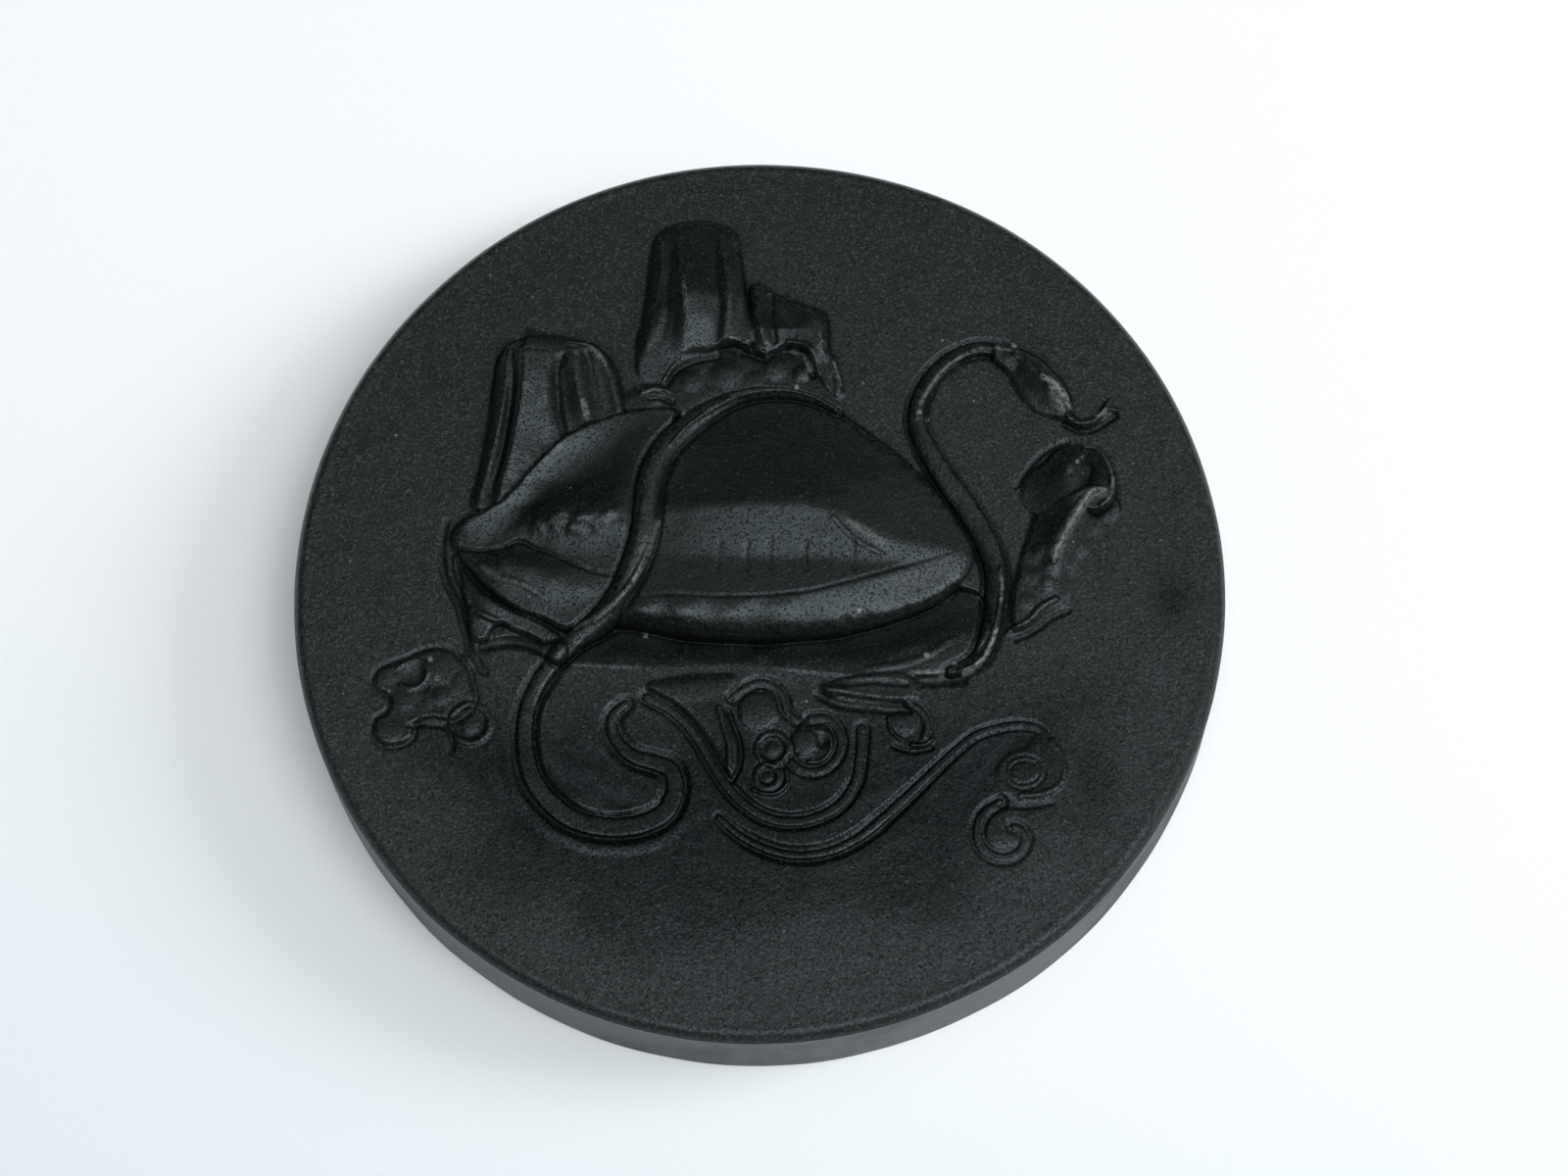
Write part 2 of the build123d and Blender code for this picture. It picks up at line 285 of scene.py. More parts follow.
leftRock = {
    "outline": [
        (-30.6, 8.0), (-29.8, 12.0), (-28.9, 18.0), (-28.4, 22.0), (-27.8, 25.4), (-26.5, 27.1),
        (-24.5, 27.8), (-21.0, 27.8), (-19.4, 27.1), (-17.8, 26.8), (-16.4, 25.7), (-15.2, 24.1),
        (-14.5, 22.0), (-14.0, 19.5), (-13.4, 16.5), (-17.0, 14.0), (-22.0, 11.0), (-27.0, 7.0),
    ],
    "shoulder": 0.7,
    "planes": [
        ("start", [(-25.4, 26, 2.3), (-22, 26, 2.1), (-15, 26, 1.0), (-25.4, 16, 0.75), (-22, 16, 0.6),
                   (-15, 16, 0.45),
                   (-27.5, 8, 0.45), (-22, 10, 0.3)]),
        ("min", [(-28.6, 26, 0.1), (-29.0, 18, 0.12), (-30.4, 9, 0.15), (-25.8, 26, 2.3),
                 (-26.2, 18, 2.0), (-27.8, 9, 1.5)]),
        ("min", [(-30, 28.0, 0.1), (-22, 28.0, 0.1), (-15, 27.4, 0.1), (-30, 25.2, 2.1), (-22, 25.0, 2.1),
                 (-15, 24.8, 1.7)]),
    ],
    "pleats": [
        ([(-26.8, 25.0), (-27.2, 20.0), (-28.0, 15.0), (-29.3, 9.5)], 0.7, 0.4, [0.12, 0.2, 0.2, 0.12]),
        ([(-24.8, 25.4), (-24.8, 22.0), (-25.2, 19.0), (-25.8, 15.8), (-26.4, 13.0), (-27.3, 10.0)],
         [3.6, 3.6, 3.8, 3.4, 2.4],
         [0.9, 1.0, 1.0, 0.9], [0.7, 1.0, 1.05, 0.95, 0.6]),
        ([(-22.3, 24.4), (-22.4, 20.0), (-22.0, 16.0)], 0.9, 1.2, [0.15, 0.25, 0.2]),
        ([(-19.4, 25.2), (-18.9, 21.5), (-18.5, 19.0), (-17.6, 16.4)], 1.2, 1.6, [0.5, 0.65, 0.7, 0.5]),
        ([(-20.2, 26.4), (-18.2, 26.1), (-16.7, 24.9), (-15.8, 23.4), (-15.1, 21.0), (-14.5, 18.0)], 0.8,
         1.0, [0.25, 0.42, 0.45, 0.4, 0.3]),
    ],
    "clefts": [
        ([(-26.0, 25.0), (-26.3, 19.0), (-27.1, 14.0), (-28.3, 9.5)], 1.3, [-0.45, -0.5, -0.3]),
        ([(-19.4, 24.6), (-20.3, 25.1), (-21.0, 24.0), (-21.2, 20.0), (-20.8, 17.0), (-20.2, 14.8)], 0.7,
         [-0.2, -0.38, -0.45, -0.4]),
        ([(-18.0, 25.0), (-17.4, 22.0), (-16.9, 19.0)], 0.7, [-0.25, -0.25, -0.15]),
    ],
}


def rockForm(rock):
    form(rock)
    for line, left, right, rise in rock["pleats"]:
        pleat(line, left, right, rise)
    for line, width, depth in rock["clefts"]:
        stroke(line, width, depth, power=0.8)


rockForm(leftRock)
soften(leftRock["outline"], 0.22)
claim("rockLeft", outline=leftRock["outline"])

centreRock = {
    "outline": [
        (-13.0, 26.0), (-12.1, 30.0), (-11.6, 34.0), (-11.2, 37.5), (-10.4, 40.0), (-8.5, 41.1),
        (-6.0, 41.5), (-3.5, 41.1), (-1.6, 40.0), (-1.1, 37.0), (-0.7, 33.0), (-0.2, 30.0), (0.4, 27.5),
        (-0.3, 25.6), (-2.5, 25.9), (-4.6, 25.3), (-7.0, 24.9), (-8.6, 23.6), (-9.8, 21.8), (-12.2, 22.2),
    ],
    "shoulder": 0.65,
    "planes": [
        ("start", [(-9, 41, 0.3), (-6, 41.2, 0.35), (0, 41, 0.3), (-9, 31, 1.7), (-6, 31, 2.0),
                   (0, 31, 1.3), (-6, 22, 3.6),
                   (-10, 22, 3.0), (0, 22, 2.0)]),
        ("min", [(-10.7, 41, 0.1), (-11.7, 34, 0.12), (-12.8, 26, 0.15), (-7.9, 41, 1.7), (-8.3, 34, 1.9),
                 (-9.2, 26, 1.9)]),
        ("min", [(-12, 30.5, 1.5), (-8, 32.5, 2.0), (-5, 29.0, 1.6), (-2.5, 28.5, 1.3), (0, 30.5, 1.2),
                 (-12, 24, 0.4),
                 (-6, 24.6, 0.5), (-2.5, 24.6, 0.95), (0, 24.6, 1.0), (-6, 38, 3.6), (0, 38, 3.0)]),
    ],
    "pleats": [
        ([(-9.9, 38.6), (-10.3, 34.0), (-10.9, 31.0), (-11.7, 26.5)], 0.6, 0.6, [0.2, 0.35, 0.35, 0.2]),
        ([(-7.9, 39.4), (-7.6, 36.0), (-7.3, 32.0), (-7.2, 29.0), (-7.7, 25.8)],
         [1.6, 1.8, 2.6, 3.0, 2.4], 1.5, [0.25, 0.5, 0.7, 0.65, 0.35]),
        ([(-3.3, 39.0), (-2.8, 35.0), (-2.5, 31.0), (-2.9, 26.6)], 1.0, 0.9, [0.3, 0.55, 0.6, 0.3]),
    ],
    "clefts": [
        ([(-8.7, 38.0), (-9.1, 33.0), (-9.4, 30.0), (-10.1, 26.5)], 0.8, [-0.15, -0.3, -0.3, -0.15]),
        ([(-3.8, 38.0), (-3.9, 33.0), (-3.8, 29.5), (-4.1, 26.4)], 0.7, [-0.12, -0.25, -0.2]),
        ([(-1.3, 38.0), (-1.0, 33.0), (-0.5, 29.0)], 0.6, [-0.1, -0.2, -0.15]),
    ],
}
rockForm(centreRock)
soften(centreRock["outline"], 0.3)
claim("rockCentre", outline=centreRock["outline"])

rightRock = {
    "outline": [
        (-0.3, 26.0), (-0.3, 30.0), (0.1, 33.4), (1.2, 33.3), (3.0, 32.0), (5.0, 30.9), (7.0, 30.3),
        (8.1, 29.7), (8.4, 28.0), (8.3, 26.0), (8.7, 23.5), (9.5, 20.6), (9.0, 19.4), (7.6, 20.4),
        (6.6, 22.6), (5.8, 25.0), (4.2, 25.7), (2.4, 25.0), (1.0, 24.6),
    ],
    "shoulder": 0.55,
    "planes": [
        ("start", [(0, 34, 0.25), (8, 31, 0.25), (0, 29, 0.9), (4, 28.5, 0.8), (8, 28, 0.7), (1, 25, 1.4),
                   (5, 25.4, 1.3),
                   (9.4, 20, 0.3), (7, 21, 0.5)]),
        ("min", [(0, 28, 1.2), (4, 28, 1.1), (8, 27.6, 1.0), (1, 24.6, 0.55), (5, 25, 0.6), (9, 21, 0.5),
                 (0, 33, 2.2), (7, 33, 2.0)]),
    ],
    "pleats": [
        ([(0.5, 32.8), (0.5, 30.0), (1.1, 26.2)], 0.9, 0.8, [0.3, 0.5, 0.4]),
        ([(5.3, 30.5), (6.9, 28.5), (7.5, 26.0)], 0.8, 2.6, [0.3, 0.7, 0.5]),
        ([(4.6, 25.6), (5.9, 24.9), (6.4, 22.6)], 0.9, 1.2, [0.35, 0.55, 0.35]),
        ([(8.7, 24.2), (9.2, 22.0), (9.4, 20.0)], 0.5, 0.8, 0.28),
        ([(2.9, 31.4), (2.9, 28.4), (3.2, 26.0)], 0.7, 0.7, [0.1, 0.16, 0.1]),
    ],
    "clefts": [([(2.0, 31.8), (2.0, 29.0), (2.3, 26.2)], 0.8, [-0.1, -0.2, -0.15])],
}
rockForm(rightRock)
claim("rockRight", outline=rightRock["outline"])

ledge = {
    "outline": [
        (-15.0, 20.0), (-12.4, 21.6), (-9.4, 22.4), (-8.0, 24.2), (-4.0, 25.4), (0.0, 25.2), (2.6, 25.0),
        (5.8, 24.4), (8.2, 21.0), (9.4, 18.0), (4.0, 19.0), (0.0, 20.0), (-5.0, 19.0), (-9.5, 16.0),
        (-13.5, 16.5),
    ],
    "rise": 0.25, "shoulder": 1.6,
}
form(ledge)
for x, y, r, h in [(-3.0, 22.6, 1.9, 0.28), (2.2, 23.1, 1.6, 0.3), (5.2, 22.5, 1.1, 0.3),
                   (-6.8, 22.0, 1.5, 0.2),
                   (0.0, 21.9, 1.2, 0.12), (-11.0, 20.0, 1.3, 0.2)]:
    spot(x, y, r, h)
stroke([(-12.2, 20.7), (-10.8, 21.2), (-9.4, 20.8)], 0.7, 0.25)
stroke([(-11.4, 20.0), (-10.0, 19.9), (-8.8, 19.4)], 0.7, -0.25)
for lip in ([(-9.7, 22.2), (-8.6, 23.8), (-6.2, 25.0), (-4.0, 25.4)],
            [(-1.2, 25.9), (0.0, 25.4), (1.3, 24.8)],
            [(3.8, 26.0), (5.8, 25.3), (6.3, 22.9)]):
    stroke(lip, 0.7, 0.22)
    stroke([(x + 0.1, y - 0.75) for x, y in lip], 0.9, -0.3)
claim("rockBase", outline=ledge["outline"])
print("rocks")

# tortoise: belly and feet first, because the shell hangs over them

belly = {
    "outline": [
        (-18.5, -6.4), (-12.0, -5.4), (0.0, -6.4), (12.0, -5.6), (20.0, -2.2), (23.5, -3.5), (24.0, -7.0),
        (22.0, -10.2), (20.2, -11.4), (15.0, -12.4), (8.0, -11.9), (0.0, -10.7), (-9.0, -10.5),
        (-16.0, -10.2),
        (-20.0, -9.4),
    ],
    "over": True, "shoulder": 0.5,
    "skin": [
        (-19, -7.4, -0.5), (-17, -9.6, 0.0), (-14, -7.0, -0.95), (-13, -9.9, 0.0), (-8, -7.5, -1.15),
        (-8, -10.4, 0.0),
        (0, -7.9, -1.2), (0, -10.6, 0.0), (-14, -8.3, -0.36), (-13.5, -9.2, -0.1), (-8, -8.8, -0.4),
        (-8, -9.7, -0.1),
        (0, -9.1, -0.4), (0, -9.9, -0.1), (-4, -8.9, -0.4), (-4, -9.8, -0.1), (4, -9.0, -0.42),
        (4, -10.0, -0.12), (8, -7.5, -1.15), (8, -9.8, -0.2), (8, -11.4, 0.12), (13, -6.5, -1.1),
        (13, -9.0, -0.25), (13, -10.6, 0.2), (13, -12, 0.15), (18, -4.9, -1.0), (18, -7.6, -0.3),
        (18, -9.6, 0.2),
        (18, -11.6, 0.15), (22, -2.4, -0.8), (22, -6.2, -0.3), (22.4, -8.4, 0.15), (21, -10.2, 0.15),
        (0, -5.4, -1.2),
        (-12, -5.6, -1.1), (12, -4.8, -1.1),
    ],
}
form(belly)
stroke([(11.0, -11.2), (14.0, -10.9), (17.0, -10.0), (20.0, -8.2)], 1.0, 0.1)
stroke([(13.6, -12.3), (17.0, -12.7), (20.8, -12.7)], 1.5, -0.28)
claim("tortoiseBelly", outline=belly["outline"])

rearFoot = {
    "outline": [
        (-31.6, 1.5), (-29.6, -1.0), (-26.0, -3.6), (-22.6, -5.2), (-20.6, -7.2), (-22.6, -7.5),
        (-24.2, -6.7),
        (-26.0, -6.0), (-27.1, -5.4), (-27.9, -6.1), (-28.5, -7.1), (-29.6, -7.2), (-30.2, -6.4),
        (-30.6, -4.0),
        (-31.2, -1.0),
    ],
    "shoulder": 0.6,
    "skin": [
        (-31.4, 1, 0.5), (-31, -1, 0.6), (-30.3, -4.2, 0.65), (-30, -6.4, 0.55), (-28.6, -4.2, 0.95),
        (-29, -6.8, 0.6),
        (-27.2, -5.3, 0.6), (-25, -6.1, 0.55), (-22.4, -7, 0.5), (-26, -4.6, 0.75), (-23.5, -5.6, 0.6),
    ],
}
form(rearFoot)
stroke([(-32.0, 2.3), (-31.9, 1.0), (-31.0, -1.5), (-30.5, -2.8)], 0.6, 0.3)
stroke([(-30.0, -3.7), (-28.6, -4.5), (-27.3, -5.1)], 0.9, 0.25)
claim("rearFoot", outline=rearFoot["outline"])

frontFoot = {
    "outline": [
        (6.0, -13.0), (7.8, -12.2), (11.0, -11.4), (15.6, -11.9), (16.4, -13.4), (15.8, -14.9),
        (13.6, -15.0),
        (10.6, -14.6), (8.0, -14.1), (6.5, -13.8),
    ],
    "rise": 0.34, "shoulder": 1.1,
}
form(frontFoot)
stroke([(6.6, -13.3), (8.4, -13.6), (11.0, -14.1), (14.6, -14.5)], 0.8, 0.08)
stroke([(5.8, -13.8), (8.0, -14.9), (11.0, -15.4), (15.0, -15.8)], 1.2, -0.25)
stroke([(8.0, -12.8), (12.0, -12.7), (15.0, -13.0)], 0.9, -0.12)
claim("frontFoot", outline=frontFoot["outline"])
print("belly and feet")

# shell: the front dome with its rim, then the rear dome with its lip

shellFront = {
    "outline": [
        (-15.6, -4.9), (-12.6, 0.5), (-11.2, 8.0), (-9.5, 14.5), (-6.0, 17.4), (-2.0, 19.4), (2.0, 19.9),
        (5.6, 19.4),
        (9.3, 17.6), (13.0, 14.7), (16.4, 11.6), (19.2, 8.4), (21.4, 5.0), (22.8, 2.0), (22.6, 0.0),
        (21.6, -1.8),
        (19.4, -3.7), (16.6, -5.1), (13.0, -6.3), (8.5, -7.3), (3.5, -7.8), (-2.0, -7.8), (-7.0, -7.3),
        (-11.5, -6.3),
    ],
    "over": True, "shoulder": 0.8, "roundness": 2.0,
    "planes": [
        ("start", [
            (-8, 16.3, 1.35), (-6, 17.2, 1.2), (-2, 19.0, 1.0), (2, 19.6, 0.9), (5.6, 19.1, 0.9),
            (9.3, 17.3, 0.85),
            (13, 14.4, 0.8), (16.4, 11.3, 0.8), (19.2, 8.1, 0.75), (21.4, 4.8, 0.7), (22.8, 1.8, 0.6),
            (-9.6, 11.3, 2.0),
            (-6, 13.8, 1.8), (0, 15.5, 1.55), (6, 14.7, 1.55), (11, 11.5, 1.55), (15.2, 7.7, 1.5),
            (18.8, 4.4, 1.2),
            (-10.6, 6.0, 2.45), (-7.4, 6.1, 2.85), (-3.4, 6.2, 3.3), (0, 6.2, 3.4), (4, 6.1, 3.35),
            (8, 5.3, 3.1),
            (10.8, 3.9, 2.75), (14.4, 2.1, 2.15), (18, 1.6, 1.65), (21, 1.4, 1.1), (-12, -1.2, 3.4),
            (-6, -1.2, 4.2),
            (0, -1.2, 4.6), (8, -2.2, 4.2), (14, -3.0, 3.0), (21, -2.6, 1.7), (-8, -7.2, 4.4),
            (6, -8.2, 5.0), (18, -5.8, 2.4),
        ]),
        ("min", [
            (-10.6, 6.0, 2.45), (-7.4, 6.1, 2.85), (-3.4, 6.2, 3.3), (0, 6.2, 3.4), (4, 6.1, 3.35),
            (8, 5.3, 3.1),
            (10.8, 3.9, 2.75), (14.4, 2.1, 2.15), (18, 1.6, 1.65), (-11, 1.1, 1.95), (-7, 0.9, 2.1),
            (-3, 0.7, 2.2),
            (2, 0.5, 2.2), (7, 0.4, 2.1), (11, 0.0, 1.85), (15, -0.3, 1.55), (19, 0.2, 1.25),
            (-8, -3.5, 1.3), (0, -3.9, 1.25),
            (8, -3.4, 1.2), (16, -3.4, 1.0), (-6, 12.8, 4.6), (0, 13.8, 5.0), (8, 11.8, 4.4),
            (16, 7.1, 2.6), (-12, 10.8, 3.8),
            (-6, -7.2, 0.6), (6, -7.2, 0.5),
        ]),
        ("max", [
            (-12, 1.5, 1.95), (-7, 0.9, 2.12), (-3, 0.7, 2.2), (2, 0.5, 2.2), (7, 0.4, 2.12),
            (11, -0.1, 1.88),
            (15, -0.2, 1.55), (19, 0.7, 1.25), (-13.4, -3.7, 1.95), (-10, -3.4, 2.3), (-5, -3.8, 2.5),
            (0, -3.9, 2.54),
            (5, -3.5, 2.46), (10, -2.3, 2.18), (15, -0.8, 1.66), (20, 0.5, 1.2), (-8, 5.4, 1.7),
            (0, 5.4, 1.8), (8, 4.4, 1.7),
            (-8, 14.8, 0.7), (2, 16.8, 0.6), (12, 12.9, 0.4), (20, 5.8, 0.5), (0, -8.0, 2.8),
            (10, -6.9, 2.6), (-10, -6.9, 2.6), (20, -3.4, 1.2),
        ]),
        ("min", [
            (-13.4, -3.7, 2.0), (-10, -3.4, 2.32), (-5, -3.8, 2.5), (0, -3.9, 2.54), (5, -3.5, 2.47),
            (10, -2.3, 2.2),
            (15, -0.8, 1.72), (20, 0.6, 1.24), (22.4, 0.5, 0.85), (-12, -5.1, 1.95), (-8, -5.6, 2.24),
            (-3, -6.0, 2.34),
            (2, -6.1, 2.18), (7, -5.6, 1.8), (11, -4.6, 1.6), (15, -3.2, 1.2), (19, -1.3, 0.95),
            (21.6, -1.1, 0.75),
            (-11.5, -6.5, 0.9), (-7, -7.5, 0.85), (-2, -8.0, 0.8), (3.5, -8.0, 0.8), (8.5, -7.5, 0.75),
            (13, -6.4, 0.7),
            (16.6, -5.2, 0.65), (19.4, -3.8, 0.6), (21.6, -2.1, 0.55), (0, -7.1, 1.35), (6, -6.8, 1.3),
            (11, -5.8, 1.1),
            (-6, -6.8, 1.5), (15, -4.7, 0.85), (-8, 1.8, 4.5), (2, 1.8, 4.6), (12, 2.8, 3.6),
            (20, 5.2, 2.4), (-8, 12.8, 7.0),
            (4, 14.8, 7.5), (16, 9.8, 5.0),
        ]),
    ],
}
form(shellFront)
soften(shellFront["outline"], 0.35)
rimSeam = [(-13.0, -3.6), (-10.0, -3.4), (-5.0, -3.8), (0.0, -3.9), (5.0, -3.5), (10.0, -2.3),
           (15.0, -0.8), (20.0, 0.7)]
stroke([(x, y + 0.3) for x, y in rimSeam], 0.6, [-0.03, -0.07, -0.08, -0.08, -0.08, -0.05])
for x, y, h in [(-1.2, 1.4, 0.1), (1.2, 1.5, 0.1), (4.9, 1.3, 0.13), (9.9, 1.2, 0.12), (7.4, 1.3, 0.06),
                (-4.2, 1.5, 0.06)]:
    stroke([(x + 0.2, y + 0.9), (x, y - 0.4), (x + 0.1, y - 2.0)], 0.8, -0.8 * h)
stroke([(8.0, 4.6), (9.2, 3.2), (10.6, 2.0), (13.0, 0.7)], 0.8, 0.12)
spot(15.5, -5.0, 0.6, -0.12)
spot(9.0, -6.3, 0.8, -0.12)
spot(11.6, -5.9, 0.6, -0.08)
claim("shellDome", outline=[
    (-13.2, -2.6), (-11.8, 3.2), (-10.7, 10.8), (-9.0, 14.4), (-6.0, 17.4), (-2.0, 19.6), (2.0, 20.0),
    (5.6, 19.5),
    (9.3, 17.7), (13.0, 14.8), (16.4, 11.7), (19.2, 8.5), (21.4, 5.1), (22.8, 2.0), (22.0, 1.1),
    (20.0, 1.1),
    (15.0, -0.2), (10.0, -1.5), (5.0, -2.6), (0.0, -3.0), (-5.0, -2.9), (-10.0, -2.5),
])
claim("shellRim", outline=[
    (-15.0, -4.8), (-13.0, -2.9), (-10.0, -2.5), (-5.0, -2.9), (0.0, -3.0), (5.0, -2.6), (10.0, -1.5),
    (15.0, -0.2),
    (20.0, 1.1), (22.8, 1.6), (22.6, 0.0), (21.6, -1.8), (19.4, -3.7), (16.6, -5.1), (13.0, -6.3),
    (8.5, -7.3),
    (3.5, -7.8), (-2.0, -7.8), (-7.0, -7.3), (-11.5, -6.3),
])

shellRear = {
    "outline": [
        (-9.0, 14.4), (-8.4, 18.4), (-11.0, 18.7), (-14.0, 18.3), (-17.5, 17.2), (-21.0, 15.3),
        (-23.4, 12.9),
        (-25.6, 10.2), (-27.2, 8.5), (-28.8, 7.6), (-30.0, 7.1), (-31.5, 6.4), (-32.4, 5.3), (-32.6, 4.1),
        (-32.1, 3.0), (-31.6, 2.2), (-30.4, 0.6), (-29.0, -1.1), (-27.0, -3.0), (-25.0, -4.3),
        (-22.5, -5.3),
        (-20.4, -6.3), (-17.0, -5.6), (-14.5, -3.0), (-12.4, 2.0), (-11.5, 8.0),
    ],
    "over": True, "shoulder": 0.75,
    "skin": [
        (-32.2, 5.0, 0.6), (-31.6, 3.6, 0.6), (-30.9, 5.3, 0.95), (-28.4, 6.6, 1.35), (-26.0, 8.7, 1.6),
        (-23.8, 11.7, 1.7), (-21.2, 14.3, 1.7), (-17.4, 16.1, 1.6), (-13, 17.4, 1.45), (-9.6, 17.2, 1.5),
        (-27.2, 5.6, 1.05), (-24.6, 7.6, 0.95), (-22.2, 10.6, 0.9), (-18.8, 13.0, 1.0), (-15, 14.2, 1.3),
        (-12.4, 14.1, 1.7), (-20.6, 8.8, 1.25), (-17.2, 9.1, 1.6), (-14.4, 9.6, 1.95), (-12.6, 8.4, 2.15),
        (-23.6, 6.1, 1.6), (-21, 6.1, 2.35), (-18.2, 5.6, 2.55), (-15.5, 5.9, 2.6), (-13.2, 5.7, 2.4),
        (-24.6, 4.6, 1.3),
        (-22, 3.9, 1.55), (-19, 3.3, 1.75), (-16, 3.4, 1.95), (-13.2, 2.8, 2.0), (-31.3, 3.1, 0.55),
        (-29, 2.9, 0.75),
        (-27, 3.0, 0.9), (-25, 3.5, 1.05), (-23.4, 2.7, 1.1), (-20.4, 1.4, 1.3), (-17.4, -0.0, 1.45),
        (-14.8, -0.9, 1.55),
        (-31, 2.4, 0.8), (-29.2, 0.9, 1.1), (-28, -0.2, 1.25), (-26.2, -1.1, 1.35), (-24, -2.1, 1.3),
        (-22, -2.9, 1.25),
        (-19.4, -3.1, 1.2), (-16.8, -3.0, 1.2), (-30.5, 0.7, 0.7), (-29, -1.1, 0.8), (-27, -3.1, 0.85),
        (-25, -4.4, 0.9), (-22.5, -5.4, 0.9), (-20.4, -6.4, 0.9), (-17.5, -5.5, 1.0), (-26.8, 0.8, 1.6),
        (-24.2, 0.4, 1.75),
        (-21.4, -0.8, 1.7), (-18.4, -1.8, 1.55),
    ],
}
form(shellRear)
lipSeam = [(-31.8, 3.4), (-29.0, 3.1), (-27.0, 3.3), (-25.0, 3.9), (-23.5, 3.1), (-22.0, 2.5),
           (-20.0, 1.5), (-18.5, 0.7),
           (-17.0, 0.1), (-15.0, -0.2)]
stroke([(x, y - 0.3) for x, y in lipSeam], 0.7, [-0.2, -0.26, -0.24, -0.2, -0.16, -0.1])
stroke([(-31.2, 2.7), (-30.0, 1.8), (-29.0, 0.6), (-28.0, -0.4), (-26.5, -0.7), (-24.0, -1.7),
        (-22.5, -2.7)], 1.0,
       [0.1, 0.16, 0.14, 0.08])
stroke([(-33.1, 6.4), (-33.5, 3.0), (-33.0, 0.0), (-31.6, -3.0), (-30.9, -5.5), (-30.2, -8.0),
        (-28.6, -10.4)], 1.1,
       [-0.15, -0.3, -0.3, -0.2])
stroke([(-28.8, -7.6), (-26.0, -7.2), (-23.0, -8.0), (-21.2, -9.0)], 1.6, [-0.3, -0.5, -0.45, -0.2])
rough = softNoise(11, 0.33) * np.exp(-(((gridX + 19) / 5.5) ** 2 + ((gridY - 5.2) / 1.5) ** 2))
height += 0.07 * rough
height += 0.035 * softNoise(12, 0.4) * np.exp(-(((gridX + 25.5) * 0.7 + (gridY - 11) * -0.7) ** 2) / 3.5
                                              - ((gridX + 25.5) ** 2 + (gridY - 11) ** 2) / 60)
for x, y, r, h in [(-21.0, 6.4, 1.1, 0.16), (-15.6, 6.2, 1.1, 0.14), (-18.6, 5.2, 0.8, 0.12),
                   (-23.0, 5.3, 0.8, 0.12),
                   (-27.6, 8.0, 0.8, 0.1), (-24.8, 11.0, 0.9, 0.1), (-17.6, 4.4, 0.7, -0.1),
                   (-20.0, 5.2, 0.6, -0.1)]:
    spot(x, y, r, h)
claim("shellDomeRear", outline=[
    (-9.0, 14.4), (-8.4, 18.4), (-11.0, 18.7), (-14.0, 18.3), (-17.5, 17.2), (-21.0, 15.3), (-23.4, 12.9),
    (-25.6, 10.2), (-28.8, 7.6), (-31.5, 6.4), (-32.4, 5.3), (-32.2, 3.6), (-29.0, 3.1), (-25.0, 3.9),
    (-22.0, 2.5),
    (-18.5, 0.7), (-14.5, -0.3), (-12.4, 2.0), (-11.5, 8.0),
])
claim("shellRimRear", outline=[
    (-32.2, 3.4), (-29.0, 3.1), (-25.0, 3.9), (-22.0, 2.5), (-18.5, 0.7), (-14.5, -0.3), (-13.6, -2.4),
    (-17.0, -5.6),
    (-20.4, -6.3), (-22.5, -5.3), (-25.0, -4.3), (-27.0, -3.0), (-29.0, -1.1), (-30.4, 0.6), (-31.6, 2.2),
])
print("shell")

# snake

coil = {
    "line": [
        (8.9, 17.5), (7.5, 18.4), (5.5, 19.3), (2.0, 19.9), (-1.5, 19.5), (-4.5, 18.1), (-7.3, 16.0),
        (-9.8, 13.2),
        (-11.0, 10.4), (-11.6, 6.8), (-12.0, 3.6), (-13.0, 0.4), (-14.4, -2.6), (-16.6, -5.2),
        (-19.2, -7.2), (-21.0, -9.0),
    ],
    "width": [0.7, 1.0, 1.3, 1.6, 2.2, 2.8, 3.0, 3.1, 3.1, 3.0, 3.0, 2.9, 2.6, 2.2, 1.9],
    "level": [1.2, 1.4, 1.5, 1.6, 1.7, 1.9, 2.2, 2.6, 2.9, 3.1, 3.05, 2.75, 2.35, 1.85, 1.2, 0.7],
}
stroke(coil["line"], [w + 0.9 for w in coil["width"]], -0.3, power=0.6)
bead(coil["line"], coil["width"], coil["level"], lean=-0.1, power=0.22)
stroke([(8.8, 17.6), (7.5, 18.6), (5.5, 19.5), (3.5, 19.9), (1.5, 19.9), (-1.5, 19.4), (-4.4, 17.9),
        (-7.3, 15.7), (-9.0, 13.6)],
       0.6, [0.2, 0.32, 0.35, 0.3, 0.25, 0.15])
stroke([(-10.6, 5.4), (-10.9, 3.0), (-11.8, 0.5), (-13.1, -1.8), (-14.9, -3.9), (-17.2, -5.6)], 1.1,
       [0.12, 0.24, 0.26, 0.15])
claim("snakeCoil", line=coil["line"], width=coil["width"])

tail = {
    "line": [
        (-20.8, -8.6), (-22.9, -11.6), (-24.0, -14.0), (-24.4, -16.5), (-24.3, -19.0), (-23.6, -21.7),
        (-21.8, -24.3),
        (-19.8, -26.0), (-17.0, -27.0), (-14.5, -27.2), (-12.0, -26.8), (-10.0, -25.7), (-9.2, -24.2),
        (-9.0, -22.7),
        (-9.5, -21.3), (-11.0, -20.6), (-13.3, -19.8), (-15.0, -18.0), (-15.5, -16.3), (-15.0, -15.0),
        (-14.1, -14.3),
    ],
    "width": [1.8, 1.7, 1.7, 1.8, 1.9, 2.0, 2.0, 2.0, 1.9, 1.7, 1.5, 1.2, 0.8],
}
stroke(tail["line"], [w + 1.6 for w in tail["width"]],
       [-0.25, -0.42, -0.5, -0.5, -0.48, -0.46, -0.42, -0.38, -0.32, -0.26],
       power=0.9)
